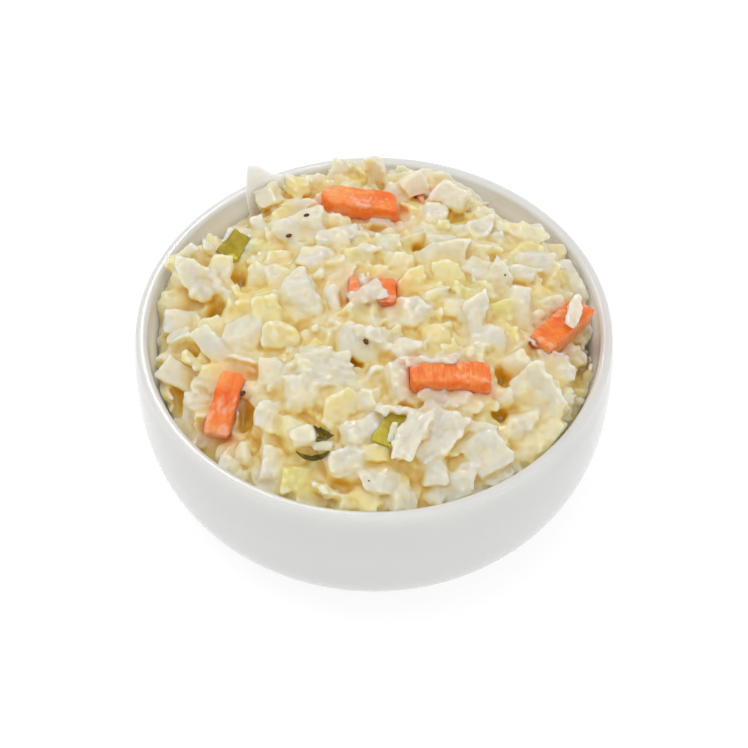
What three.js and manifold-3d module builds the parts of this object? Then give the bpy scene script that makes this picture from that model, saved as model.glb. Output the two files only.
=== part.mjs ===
// A small white porcelain bowl of coleslaw. The bowl is turned about its axis. The cabbage is one heap:
// a smooth core with a few hundred cut pieces and some seeds grown together with it. The carrot bars,
// the pepper and relish chips, the herb leaf and one tall cabbage slab lie on the core as pieces of
// their own. Millimetres, +Z up, origin on the table under the middle of the bowl.

import * as THREE from 'three';
import { mergeVertices } from 'three/addons/utils/BufferGeometryUtils.js';
import Module from 'manifold-3d';

const wasm = await Module();
wasm.setup();

// Bowl
const RIM_RADIUS = 54;
const RIM_HEIGHT = 44;
const BELLY_RADIUS = 54.5;
const BELLY_HEIGHT = 36.5;
const BELLY_ROUNDNESS = 2.86;
const FOOT_RADIUS = 27;
const FOOT_HEIGHT = 2.5;
const FOOT_WIDTH = 4;
const FOOT_RECESS = 1.2;
const FLOOR_HEIGHT = 5.5;
const FLOOR_RADIUS = 22;
const WALL = 2.8;
const LIP_CORNER = 0.9;
const RADIAL_SEGMENTS = 48;
const CORE_SEGMENTS = 24;

// Heap: how high the tops of its pieces lie, and what lies under them
const HEAP_RADIUS = 50;
const CROWN = 9;
const DOME_POWER = 3.2;
const EDGE_POWER = 6;
const CORE_DEPTH = 3.3;
const CLEARANCE = 0.35;
const TOPPING_CLEARANCE = 0.45;
// Where the heap stands back from the wall: direction, depth and half-width of each hollow
const HOLLOWS = [
  { bearing: 147, depth: 9, spread: 14 },
  { bearing: 48, depth: 7, spread: 13 },
  { bearing: 2, depth: 5, spread: 9 },
];
const HOLLOW_START = 38;
const HOLLOW_END = 47;

// Cut cabbage, largest kind first: how many, length, width and thickness, and how far each may vary
const CABBAGE = [
  { shape: 'flake', count: 34, size: [11, 8, 1.8], spread: 0.25, tilt: 40, lift: -1.2 },
  { shape: 'chunk', count: 50, size: [8, 6.4, 5], spread: 0.25, tilt: 30, lift: -2.1 },
  { shape: 'shred', count: 20, size: [13, 3.2, 1.6], spread: 0.25, tilt: 22, lift: -1.0 },
  { shape: 'block', count: 60, size: [5.8, 4.8, 3.8], spread: 0.3, tilt: 45, lift: -1.5 },
];
// A piece that doesn't fit where it falls is tried again round that spot, each time a little smaller.
const PLACING_TRIES = 22;
const CREEP = 1.1;
const SHRINK = 0.985;

// Celery seeds, by where they lie
const SEED_SIZE = [1.8, 1.2, 1.0];
const SEEDS = [
  { at: [-14.6, 24.9], turn: 10 },
  { at: [-18.7, 21.8], turn: 25 },
  { at: [-2.0, -8.7], turn: 115 },
  { at: [-29.2, -20.4], turn: 60 },
  { at: [11.4, -31.8], turn: 30 },
  { at: [28.5, 7.9], turn: 80 },
];

const random = seededRandom(20);

function seededRandom(seed) {
  let state = seed;
  return () => {
    state = (state + 0x6d2b79f5) | 0;
    let mixed = Math.imul(state ^ (state >>> 15), 1 | state);
    mixed = (mixed + Math.imul(mixed ^ (mixed >>> 7), 61 | mixed)) ^ mixed;
    return ((mixed ^ (mixed >>> 14)) >>> 0) / 4294967296;
  };
}

function vary(value, spread) {
  return value * (1 + spread * (2 * random() - 1));
}

// ---- solids ----

// The corners of a geometry, shared where they meet, without the slivers that shared corners leave.
function weld(geometry) {
  const bare = geometry.clone();
  bare.deleteAttribute('normal');
  bare.deleteAttribute('uv');
  const welded = mergeVertices(bare, 1e-3);
  const corners = [];
  for (let i = 0; i < welded.index.count; i += 3) {
    const [a, b, c] = [0, 1, 2].map((k) => welded.index.getX(i + k));
    if (a !== b && b !== c && c !== a) corners.push(a, b, c);
  }
  welded.setIndex(corners);
  return welded;
}

function solid(geometry) {
  const welded = weld(geometry);
  return new wasm.Manifold(
    new wasm.Mesh({
      numProp: 3,
      vertProperties: new Float32Array(welded.attributes.position.array),
      triVerts: new Uint32Array(welded.index.array),
    }),
  );
}

function geometryOf(manifold) {
  const mesh = manifold.getMesh();
  const geometry = new THREE.BufferGeometry();
  geometry.setAttribute('position', new THREE.BufferAttribute(mesh.vertProperties, mesh.numProp));
  geometry.setIndex(new THREE.BufferAttribute(mesh.triVerts, 1));
  geometry.computeVertexNormals();
  return geometry;
}

function largestBody(manifold) {
  const bodies = manifold.decompose();
  return bodies.reduce((best, body) => (body.volume() > best.volume() ? body : best));
}

// A turned solid: the profile is radius and height, from the axis outwards and back to it.
function turned(profile, segments) {
  const points = profile.map(([radius, height]) => new THREE.Vector2(radius, height));
  return new THREE.LatheGeometry(points, segments).rotateX(Math.PI / 2);
}

// A thin curved sheet: a plane whose points are moved by a function of its two directions, and the
// same plane again below it, both split into triangles alike, joined round the edge.
function sheet(columns, rows, thickness, place) {
  const plane = new THREE.PlaneGeometry(1, 1, columns, rows);
  const uv = plane.attributes.uv;
  const count = uv.count;
  const points = [];
  for (const side of [0.5, -0.5]) {
    for (let i = 0; i < count; i += 1) {
      const p = place(uv.getX(i) - 0.5, uv.getY(i) - 0.5);
      points.push(p.x, p.y, p.z + side * thickness);
    }
  }
  const front = Array.from(plane.index.array);
  const faces = [...front];
  for (let i = 0; i < front.length; i += 3) {
    faces.push(front[i + 2] + count, front[i + 1] + count, front[i] + count);
  }
  const across = columns + 1;
  const rim = [];
  for (let i = 0; i < columns; i += 1) rim.push(i);
  for (let j = 0; j < rows; j += 1) rim.push(columns + j * across);
  for (let i = columns; i > 0; i -= 1) rim.push(rows * across + i);
  for (let j = rows; j > 0; j -= 1) rim.push(j * across);
  rim.forEach((a, k) => {
    const b = rim[(k + 1) % rim.length];
    faces.push(a, b, a + count, b, b + count, a + count);
  });
  const geometry = new THREE.BufferGeometry();
  geometry.setAttribute('position', new THREE.Float32BufferAttribute(points, 3));
  geometry.setIndex(faces);
  return geometry;
}

// ---- bowl ----

// A rounded side from an edge near the base out to the widest point: a superellipse.
function bellyCurve(innerRadius, baseHeight, outerRadius, steps) {
  return Array.from({ length: steps + 1 }, (_, i) => {
    const sweep = (i / steps) * (Math.PI / 2);
    const height = baseHeight + (BELLY_HEIGHT - baseHeight) * (1 - Math.cos(sweep));
    const left = (BELLY_HEIGHT - height) / (BELLY_HEIGHT - baseHeight);
    const bulge = (1 - left ** BELLY_ROUNDNESS) ** (1 / BELLY_ROUNDNESS);
    return [innerRadius + (outerRadius - innerRadius) * bulge, height];
  });
}

// The inner wall from the middle of the floor to the lip, moved inwards and up by a margin.
function innerWall(margin) {
  const lipRadius = RIM_RADIUS - WALL;
  const lipHeight = RIM_HEIGHT - LIP_CORNER;
  const bellyRadius = BELLY_RADIUS - WALL;
  const side = bellyCurve(FLOOR_RADIUS, FLOOR_HEIGHT, bellyRadius, 7);
  const upper = [0.5, 1].map((s) => [
    bellyRadius + (lipRadius - bellyRadius) * s * s,
    BELLY_HEIGHT + (lipHeight - BELLY_HEIGHT) * s,
  ]);
  const moved = [...side, ...upper].map(([radius, height]) => [radius - margin, height + margin]);
  return [[0, FLOOR_HEIGHT + margin], ...moved];
}

function quarterTurn(centre, radius, from) {
  return [0, 1, 2].map((i) => {
    const angle = from + (i / 2) * (Math.PI / 2);
    return [centre[0] + radius * Math.cos(angle), centre[1] + radius * Math.sin(angle)];
  });
}

// The bowl's outline, or with a margin the space that nothing in the bowl may enter.
function bowlSolid(margin = 0) {
  const footInner = FOOT_RADIUS - FOOT_WIDTH;
  const foot = [
    [0, FOOT_RECESS],
    [footInner - FOOT_RECESS, FOOT_RECESS],
    [footInner, 0],
    [FOOT_RADIUS, 0],
  ];
  const outer = bellyCurve(FOOT_RADIUS, FOOT_HEIGHT, BELLY_RADIUS, 8);
  const outerCorner = [RIM_RADIUS - LIP_CORNER, RIM_HEIGHT - LIP_CORNER];
  const innerCorner = [RIM_RADIUS - WALL + LIP_CORNER, RIM_HEIGHT - LIP_CORNER];
  const lip = [
    ...quarterTurn(outerCorner, LIP_CORNER + margin, 0),
    ...quarterTurn(innerCorner, LIP_CORNER + margin, Math.PI / 2),
  ];
  const inner = innerWall(margin).slice(0, -1).reverse();
  return turned([...foot, ...outer, ...lip, ...inner], RADIAL_SEGMENTS);
}

// The inner wall's radius at a height, along the same straight steps as the bowl's own wall.
function wallRadius(height) {
  const wall = innerWall(0).slice(1);
  const next = wall.findIndex(([, z]) => z >= height);
  if (next < 0) return wall.at(-1)[0];
  if (next === 0) return wall[0][0];
  const [[r0, z0], [r1, z1]] = [wall[next - 1], wall[next]];
  return r0 + ((height - z0) / (z1 - z0)) * (r1 - r0);
}

// ---- heap ----

function angleBetween(a, b) {
  return Math.abs(((a - b + 540) % 360) - 180);
}

// The height of the piece tops: a dome that falls off towards the wall, higher at the back than at
// the left, with hollows where the heap stands back from the wall.
function heapHeight(x, y) {
  const radius = Math.hypot(x, y);
  const bearing = THREE.MathUtils.radToDeg(Math.atan2(y, x));
  const t = radius / HEAP_RADIUS;
  const left = Math.cos(THREE.MathUtils.degToRad(bearing - 180));
  const back = Math.max(0, Math.cos(THREE.MathUtils.degToRad(bearing - 100)));
  const edgeDrop = 6.5 + 2.5 * left - 4.5 * back * back;
  const hollow = HOLLOWS.reduce((sum, h) => {
    const away = angleBetween(bearing, h.bearing) / h.spread;
    return sum + h.depth * Math.exp(-away * away);
  }, 0);
  const hollowing = THREE.MathUtils.smoothstep(radius, HOLLOW_START, HOLLOW_END);
  return RIM_HEIGHT + CROWN * (1 - t ** DOME_POWER) - edgeDrop * t ** EDGE_POWER - hollow * hollowing;
}

// The core is a turned solid with its rings moved: the top rings up to the heap less a depth, the side
// rings down along the wall.
function coreSolid() {
  const topRings = [0, 0.3, 0.56, 0.76, 0.88, 0.95];
  const sideRings = [1, 0.7, 0.4, 0.16, 0];
  const floorMark = [0, -1];
  const profile = [
    floorMark,
    ...sideRings.map((s) => [1, s]).reverse(),
    ...topRings.map((t) => [t, 2]).reverse(),
  ];
  const core = weld(turned(profile, CORE_SEGMENTS));
  const position = core.attributes.position;
  for (let i = 0; i < position.count; i += 1) {
    const [u, v, mark] = [position.getX(i), position.getY(i), position.getZ(i)];
    const [x, y, z] = corePoint(u, v, mark);
    position.setXYZ(i, x, y, z);
  }
  return solid(core);
}

function corePoint(u, v, mark) {
  const share = Math.hypot(u, v);
  if (mark < 0) return [0, 0, FLOOR_HEIGHT + CLEARANCE];
  if (share === 0) return [0, 0, heapHeight(0, 0) - CORE_DEPTH];
  const [cos, sin] = [u / share, v / share];
  const edgeTop = heapHeight(HEAP_RADIUS * 0.98 * cos, HEAP_RADIUS * 0.98 * sin) - CORE_DEPTH;
  const edgeRadius = wallRadius(edgeTop) - CLEARANCE;
  if (mark > 1.5) {
    const radius = edgeRadius * share;
    return [radius * cos, radius * sin, heapHeight(radius * cos, radius * sin) - CORE_DEPTH];
  }
  const height = FLOOR_HEIGHT + (edgeTop - FLOOR_HEIGHT) * mark;
  const radius = wallRadius(height) - CLEARANCE;
  return [radius * cos, radius * sin, height + CLEARANCE * (1 - mark)];
}

// ---- cut cabbage ----

// A box or ball whose corners are each moved a little.
function roughened(geometry, size) {
  const rough = weld(geometry);
  const position = rough.attributes.position;
  for (let i = 0; i < position.count; i += 1) {
    const moved = size.map((length) => 0.13 * length * (2 * random() - 1));
    position.setXYZ(
      i,
      position.getX(i) + moved[0],
      position.getY(i) + moved[1],
      position.getZ(i) + moved[2],
    );
  }
  return rough;
}

const cabbageShapes = {
  chunk: ([length, width, height]) =>
    roughened(new THREE.IcosahedronGeometry(0.55, 0).scale(length, width, height), [length, width, height]),
  block: ([length, width, height]) =>
    roughened(new THREE.BoxGeometry(length, width, height), [length, width, height]),
  flake: ([length, width, thickness]) => {
    const sides = 5 + Math.floor(2 * random());
    const outline = Array.from({ length: sides }, (_, i) => {
      const angle = ((i + 0.35 * random()) / sides) * 2 * Math.PI;
      const reach = 0.42 + 0.16 * random();
      return new THREE.Vector2(length * reach * Math.cos(angle), width * reach * Math.sin(angle));
    });
    const options = { depth: thickness, bevelEnabled: false };
    return new THREE.ExtrudeGeometry(new THREE.Shape(outline), options).translate(0, 0, -thickness / 2);
  },
  shred: ([length, width, thickness]) => {
    const bend = vary(2.2, 0.8);
    const skew = vary(1.5, 1);
    return sheet(3, 1, thickness, (u, v) => {
      const narrowing = 1 - 1.1 * u * u;
      return new THREE.Vector3(length * u, width * v * narrowing + 4 * skew * u * u, -4 * bend * u * u);
    });
  },
};

// The golden angle spreads each kind evenly over the heap.
const GOLDEN_ANGLE = Math.PI * (3 - Math.sqrt(5));

function cabbagePieces() {
  return CABBAGE.flatMap(({ shape, count, size, spread, tilt, lift }, kind) =>
    Array.from({ length: count }, (_, i) => {
      const radius = 48.5 * Math.sqrt((i + 0.5) / count);
      const bearing = i * GOLDEN_ANGLE + kind * 1.1;
      return {
        shape,
        size: size.map((length) => vary(length, spread)),
        at: [radius * Math.cos(bearing), radius * Math.sin(bearing)],
        turn: 2 * Math.PI * random(),
        tilt: THREE.MathUtils.degToRad(tilt) * (2 * random() - 1),
        lift: lift + 1.2 * (2 * random() - 1),
      };
    }),
  );
}

function placed(geometry, { at, turn, tilt, lift }, scale) {
  const height = heapHeight(at[0], at[1]) + lift;
  const move = new THREE.Matrix4().makeTranslation(at[0], at[1], height);
  const turning = new THREE.Matrix4().makeRotationFromEuler(new THREE.Euler(tilt, 0, turn, 'ZXY'));
  const scaling = new THREE.Matrix4().makeScale(scale, scale, scale);
  return geometry.clone().applyMatrix4(move.multiply(turning).multiply(scaling));
}

// A piece that would cross the bowl or a topping is moved round its spot, lowered and shortened a
// little at a time, and left out if that doesn't free it.
function fitted(piece, keepOut) {
  const shape = cabbageShapes[piece.shape](piece.size);
  for (let attempt = 0; attempt < PLACING_TRIES; attempt += 1) {
    const shift = CREEP * Math.sqrt(attempt);
    const towards = attempt * GOLDEN_ANGLE;
    const spot = {
      ...piece,
      at: [piece.at[0] + shift * Math.cos(towards), piece.at[1] + shift * Math.sin(towards)],
      lift: piece.lift - 0.05 * attempt,
    };
    const candidate = solid(placed(shape, spot, SHRINK ** attempt));
    if (keepOut.every((space) => candidate.intersect(space).isEmpty())) return candidate;
  }
  return null;
}

// ---- toppings ----

const orange = new THREE.MeshStandardMaterial({ color: 0xee6a28, roughness: 0.4, metalness: 0 });
const olive = new THREE.MeshStandardMaterial({ color: 0xa9a018, roughness: 0.4, metalness: 0 });
const darkGreen = new THREE.MeshStandardMaterial({ color: 0x5a5c12, roughness: 0.45, metalness: 0 });
const cream = new THREE.MeshStandardMaterial({ color: 0xe6dfc4, roughness: 0.4, metalness: 0 });
const porcelain = new THREE.MeshStandardMaterial({ color: 0xd9d9d6, roughness: 0.18, metalness: 0 });

// A cut bar: its side outline has one slanted and one rounded end, and its long edges are softened.
function bar([length, width, height], slant, margin = 0) {
  const bevel = 0.5;
  const [halfLength, halfWidth] = [length / 2 + margin - bevel, width / 2 + margin - bevel];
  const outline = new THREE.Shape();
  outline.moveTo(halfLength - slant, halfWidth);
  outline.lineTo(-halfLength + 0.35 * width, halfWidth);
  outline.quadraticCurveTo(-halfLength, halfWidth, -halfLength, 0);
  outline.quadraticCurveTo(-halfLength, -halfWidth, -halfLength + 0.35 * width, -halfWidth);
  outline.lineTo(halfLength, -halfWidth);
  outline.closePath();
  const depth = height + 2 * margin - 2 * bevel;
  const options = {
    depth,
    curveSegments: 3,
    bevelThickness: bevel,
    bevelSize: bevel,
    bevelSegments: 1,
  };
  return new THREE.ExtrudeGeometry(outline, options).translate(0, 0, -depth / 2);
}

// A flat four-sided chip.
function chip([length, width, height], slant, margin = 0) {
  const [halfLength, halfWidth] = [length / 2 + margin, width / 2 + margin];
  const outline = new THREE.Shape([
    new THREE.Vector2(halfLength - slant, halfWidth),
    new THREE.Vector2(-halfLength, halfWidth),
    new THREE.Vector2(-halfLength + slant, -halfWidth),
    new THREE.Vector2(halfLength, -halfWidth),
  ]);
  const depth = height + 2 * margin;
  return new THREE.ExtrudeGeometry(outline, { depth, bevelEnabled: false }).translate(0, 0, -depth / 2);
}

// A torn leaf: pointed at both ends, folded along its rib and waved across it.
function leaf([length, width, height], slant, margin = 0) {
  const [halfLength, halfWidth] = [length / 2 + margin, width / 2 + margin];
  return sheet(8, 3, height + 2 * margin, (u, v) => {
    const span = Math.sqrt(Math.max(0.08, 1 - 4 * u * u));
    const fold = 0.9 * Math.abs(2 * v) * span;
    const wave = 0.5 * Math.sin(9 * u + 2 * v);
    return new THREE.Vector3(2 * halfLength * u, 2 * halfWidth * v * span + slant * u, fold + wave);
  });
}

// Toppings: plan position, turn about +Z, pitch of the long axis, roll about it, lift above the heap.
const TOPPINGS = [
  {
    name: 'carrot_back', shape: bar, material: orange,
    size: [19.5, 6.4, 4.4], slant: 2.2, at: [-3.4, 32], turn: -11, pitch: 2, roll: -6, lift: 0.4,
  },
  {
    name: 'carrot_centre', shape: bar, material: orange,
    size: [11, 6.5, 3], slant: 0.8, at: [-0.2, 3.6], turn: -4, pitch: 0, roll: 4, lift: -0.8,
  },
  {
    name: 'carrot_front', shape: bar, material: orange,
    size: [18.2, 5.8, 5], slant: 0.3, at: [16.7, -21.1], turn: 2, pitch: -3, roll: 0, lift: 0.3,
  },
  {
    name: 'carrot_left', shape: bar, material: orange,
    size: [15.5, 5.6, 4.6], slant: 0.6, at: [-32.8, -23.9], turn: 72, pitch: 29, roll: 10, lift: 0.5,
  },
  {
    name: 'carrot_right', shape: bar, material: orange,
    size: [17.6, 6, 5.4], slant: 0.3, at: [42.1, -2.5], turn: 52, pitch: -9, roll: 8, lift: 1.9,
  },
  {
    name: 'carrot_far', shape: bar, material: orange,
    size: [6.5, 4.4, 3], slant: 0.6, at: [13.4, 36.6], turn: 24, pitch: 0, roll: 0, lift: -0.6,
  },
  {
    name: 'pepper_chip', shape: chip, material: olive,
    size: [7.8, 6.2, 1.6], slant: 0.4, at: [-31.5, 21.2], turn: 59, pitch: 3, roll: 10, lift: 0.6,
  },
  {
    name: 'relish_chip', shape: chip, material: olive,
    size: [8, 6.5, 2], slant: 0.8, at: [3.5, -34.3], turn: 52, pitch: 10, roll: 6, lift: -0.6,
  },
  {
    name: 'herb_leaf', shape: leaf, material: darkGreen,
    size: [10.5, 6.5, 0.6], slant: 1.2, at: [-11.6, -37.3], turn: 24, pitch: 6, roll: 16, lift: 0.6,
  },
  {
    name: 'cabbage_slab', shape: chip, material: cream,
    size: [8, 13, 1.8], slant: 1.5, at: [-26, 39.3], turn: 8, pitch: 0, roll: 82, lift: 5.2,
  },
];

function poseOf({ at, turn, pitch, roll, lift }) {
  const [turnAngle, pitchAngle, rollAngle] = [turn, pitch, roll].map(THREE.MathUtils.degToRad);
  return {
    position: new THREE.Vector3(at[0], at[1], heapHeight(at[0], at[1]) + lift),
    rotation: new THREE.Euler(rollAngle, -pitchAngle, turnAngle, 'ZYX'),
  };
}

function toppingMesh(topping) {
  const mesh = new THREE.Mesh(
    geometryOf(solid(topping.shape(topping.size, topping.slant))),
    topping.material,
  );
  const { position, rotation } = poseOf(topping);
  mesh.name = topping.name;
  mesh.position.copy(position);
  mesh.rotation.copy(rotation);
  return mesh;
}

// The space that a topping takes up, with clearance all round.
function toppingSpace(topping) {
  const { position, rotation } = poseOf(topping);
  const turning = new THREE.Matrix4().makeRotationFromEuler(rotation).setPosition(position);
  return solid(topping.shape(topping.size, topping.slant, TOPPING_CLEARANCE).applyMatrix4(turning));
}

// ---- seeds ----

// A seed lies half sunk in whatever piece is under it.
function seedsOn(heap, spaces) {
  const surface = new THREE.Mesh(geometryOf(heap));
  const down = new THREE.Vector3(0, 0, -1);
  return SEEDS.flatMap(({ at, turn }) => {
    const above = new THREE.Vector3(at[0], at[1], RIM_HEIGHT + 40);
    const hit = new THREE.Raycaster(above, down).intersectObject(surface)[0];
    const seed = new THREE.SphereGeometry(0.5, 5, 4)
      .scale(...SEED_SIZE)
      .rotateZ(THREE.MathUtils.degToRad(turn))
      .translate(at[0], at[1], hit.point.z);
    const body = solid(seed);
    return spaces.every((space) => body.intersect(space).isEmpty()) ? [body] : [];
  });
}

function joined(bodies) {
  if (bodies.length === 1) return bodies[0];
  const half = Math.ceil(bodies.length / 2);
  return joined(bodies.slice(0, half)).add(joined(bodies.slice(half)));
}

function slawSolid() {
  const spaces = TOPPINGS.map(toppingSpace);
  const keepOut = [solid(bowlSolid(CLEARANCE)), ...spaces];
  const pieces = cabbagePieces().map((piece) => fitted(piece, keepOut)).filter(Boolean);
  const core = spaces.reduce((body, space) => body.subtract(space), coreSolid());
  const heap = largestBody(joined([core, ...pieces]));
  return joined([heap, ...seedsOn(heap, keepOut)]);
}

const bowl = new THREE.Mesh(geometryOf(solid(bowlSolid())), porcelain);
bowl.name = 'bowl';

const slaw = new THREE.Mesh(geometryOf(slawSolid()), cream);
slaw.name = 'slaw';

const coleslaw = new THREE.Group();
coleslaw.add(bowl, slaw, ...TOPPINGS.map(toppingMesh));

export default coleslaw;
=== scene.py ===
"""A small white porcelain bowl heaped with chopped, dressed coleslaw.

The bowl, the cabbage heap and its toppings are worked out from sizes in real units and stand round
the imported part, in the same frame: metres, +Z up, the table at height 0 under the middle of the bowl.
"""

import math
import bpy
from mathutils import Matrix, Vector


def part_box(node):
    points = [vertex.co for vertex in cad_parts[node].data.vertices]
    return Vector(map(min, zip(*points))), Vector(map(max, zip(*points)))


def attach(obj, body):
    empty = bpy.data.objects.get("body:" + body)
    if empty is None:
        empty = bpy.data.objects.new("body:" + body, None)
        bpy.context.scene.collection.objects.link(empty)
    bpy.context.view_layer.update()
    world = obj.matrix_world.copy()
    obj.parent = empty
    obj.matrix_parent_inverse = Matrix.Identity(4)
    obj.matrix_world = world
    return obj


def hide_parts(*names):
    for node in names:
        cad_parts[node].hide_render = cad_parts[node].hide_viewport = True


bl_info = {
    "name": "Coleslaw Bowl",
    "version": (1, 0, 0),
    "blender": (4, 5, 0),
    "location": "View3D > Sidebar > Coleslaw",
    "description": "Builds a porcelain bowl of chopped coleslaw from sizes in real units",
    "category": "Add Mesh",
}

from typing import NamedTuple

import bpy
import numpy as np

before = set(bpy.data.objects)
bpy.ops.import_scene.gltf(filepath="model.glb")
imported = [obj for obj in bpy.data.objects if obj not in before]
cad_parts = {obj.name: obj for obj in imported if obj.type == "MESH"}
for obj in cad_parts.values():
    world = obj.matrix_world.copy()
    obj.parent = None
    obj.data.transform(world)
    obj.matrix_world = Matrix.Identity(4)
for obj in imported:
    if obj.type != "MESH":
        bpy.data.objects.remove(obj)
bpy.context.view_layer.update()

MM = 0.001
ROOT = "root"

# ---- driving sizes, in millimetres ----

BOWL_LOW, BOWL_HIGH = (np.array(corner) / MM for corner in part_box("bowl"))
BELLY_RADIUS = (BOWL_HIGH[0] - BOWL_LOW[0]) / 2
RIM_HEIGHT = BOWL_HIGH[2]
RIM_RADIUS = BELLY_RADIUS - 0.5
BELLY_HEIGHT = 36.5
BELLY_ROUNDNESS = 2.86
FOOT_RADIUS = 27.0
FOOT_HEIGHT = 2.5
FOOT_WIDTH = 4.0
FOOT_RECESS = 1.2
FLOOR_HEIGHT = 5.5
FLOOR_RADIUS = 22.0
WALL = 2.8
WALL_THICKENING = 2.4  # inside only, fading in below the lip and out above the floor
LIP_CORNER = 0.9
LIP_INSIDE = 1.1
BOWL_SEGMENTS = 192
BELLY_STEPS = 56
CORNER_STEPS = 8

HEAP_RADIUS = 50.0
CROWN = 9.0
DOME_POWER = 3.2
EDGE_POWER = 6.0
EDGE_DROP = 6.5
EDGE_DROP_LEFT = 2.5
EDGE_RISE_BACK = 4.5
BACK_BEARING = 100.0
# Where the heap stands back from the wall: bearing, depth and half-width in degrees.
HOLLOWS = ((138.0, 10.0, 13.0), (48.0, 9.0, 12.0), (0.0, 6.0, 10.0))
# The same for the plain heap that the toppings stand on.
PLAIN_HOLLOWS = ((147.0, 13.0, 15.0), (48.0, 9.0, 12.0), (0.0, 6.0, 10.0))
HOLLOW_START, HOLLOW_END = 39.0, 48.0
# Where it is heaped higher: plan position, height and radius.
MOUNDS = (
    (-39.0, 16.0, 4.5, 8.0),
    (-24.0, 39.0, 2.5, 7.0),
    (-6.5, 44.5, 3.0, 6.0),
    (34.0, 24.0, 3.5, 7.0),
    (14.0, 45.0, 1.5, 5.0),
)
CORE_DEPTH = 4.6
CORE_RISE = 3.4  # along the wall
CORE_RISE_START, CORE_RISE_END = 40.0, 48.0
FEWEST_POINTS = 300  # an island of the mass with fewer is a stray scrap, and is left out
# Crevices that sink into the core: plan position, half-widths across and along.
PITS = (
    (-36.5, 3.0, 2.9, 4.2), (-29.8, 11.5, 2.4, 4.6), (-5.0, -14.8, 3.2, 3.4), (45.5, -9.0, 2.4, 7.0),
    (-28.4, -25.5, 2.2, 5.0), (28.5, -17.5, 2.3, 3.6), (28.0, -26.4, 5.0, 2.6), (-6.0, -42.5, 2.6, 2.2),
    (0.5, 24.6, 2.4, 2.0), (-43.0, -16.5, 2.4, 4.0), (-40.5, -7.5, 1.9, 2.2), (29.0, -1.0, 1.9, 2.3),
    (-17.6, -9.7, 1.4, 2.2), (0.4, -30.4, 1.4, 2.0), (14.9, -10.9, 1.7, 1.8), (17.9, -5.2, 1.4, 1.5),
    (-20.6, -39.0, 1.6, 1.6), (15.5, -37.2, 1.2, 1.8), (10.0, 18.0, 2.4, 2.6), (18.5, 4.7, 1.6, 1.4),
    (-27.5, -33.0, 3.0, 4.6), (-12.1, 31.0, 1.6, 1.4), (-9.5, -18.5, 1.8, 2.4), (3.5, -6.5, 1.4, 1.6),
)
PIT_DEPTH = 2.4
PIT_SPREAD = 1.15
FLUTE_SPACING = 0.55
BED_SPACING = 4.0
TOPPING_GAP = 0.2  # what comes to rest later keeps this far below a topping
LANDMARK_OVERLAP = 0.9
MASS_OVERLAP = 0.15  # how far the mass reaches into a topping
OPEN_ABOVE = 6.0  # half thicknesses of a topping up to which nothing covers it
# painted light: how strongly the cabbage beside a carrot is painted with the carrot's bounced orange
STAIN_SHARE = 0.65

# How a loose piece settles: the share of its cells that may press into what is below, how many
# places it tries, and how far apart the heap is felt round each.
SINK = 0.35
TRIES = 40
PROBE = 1.6

# The view: where the camera stands, and what it looks at.
RENDER_PIXELS = 748
VIEW_ELEVATION = math.radians(49.496)
VIEW_DISTANCE = 638.98
AIM_HEIGHT = 27.75
FOCAL_PIXELS = 2823.6
SENSOR = 36.0

# The stage: each lamp's place and size in millimetres and its power in watts.
LAMPS = (
    ("overhead box", (-150, 100, 900), 900, 2.2),
    ("front box", (200, -800, 700), 600, 0.85),
    ("small box", (-80, 640, 800), 150, 0.5),
)
SKY_STRENGTH = 0.72
SWEEP_GLOW = 0.66
SWEEP_HALF = 2000.0
SWEEP_DROP = 0.02


# ---- small tools ----


def linear(hex_code):
    """An sRGB hex colour as linear red, green, blue and alpha."""
    channels = [int(hex_code[i : i + 2], 16) / 255 for i in (1, 3, 5)]
    return (*(c / 12.92 if c <= 0.04045 else ((c + 0.055) / 1.055) ** 2.4 for c in channels), 1.0)


def add(tree, kind, inputs=None, stops=None, **settings):
    """Adds a node: its settings, then its inputs, each a value or a socket that is linked to it."""
    node = tree.nodes.new(kind)
    for name, value in settings.items():
        setattr(node, name, value)
    for place, colour in stops or ():
        ends = node.color_ramp.elements
        element = ends[0] if place == 0.0 else ends[-1] if place == 1.0 else ends.new(place)
        element.color = colour
    for name, value in (inputs or {}).items():
        if isinstance(value, bpy.types.NodeSocket):
            tree.links.new(value, node.inputs[name])
        else:
            node.inputs[name].default_value = value
    return node


def grains(size):
    """A pattern's scale from the size of its grains in millimetres."""
    return 1 / (size * MM)


def new_material(name):
    """An empty node material with its output, and the tree that it is built in."""
    material = bpy.data.materials.new(name)
    material.use_nodes = True
    material.node_tree.nodes.clear()
    return material, material.node_tree


def finished(material, shader):
    """The material with a shader joined to its output."""
    add(material.node_tree, "ShaderNodeOutputMaterial", {"Surface": shader.outputs[0]})
    return material


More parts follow.
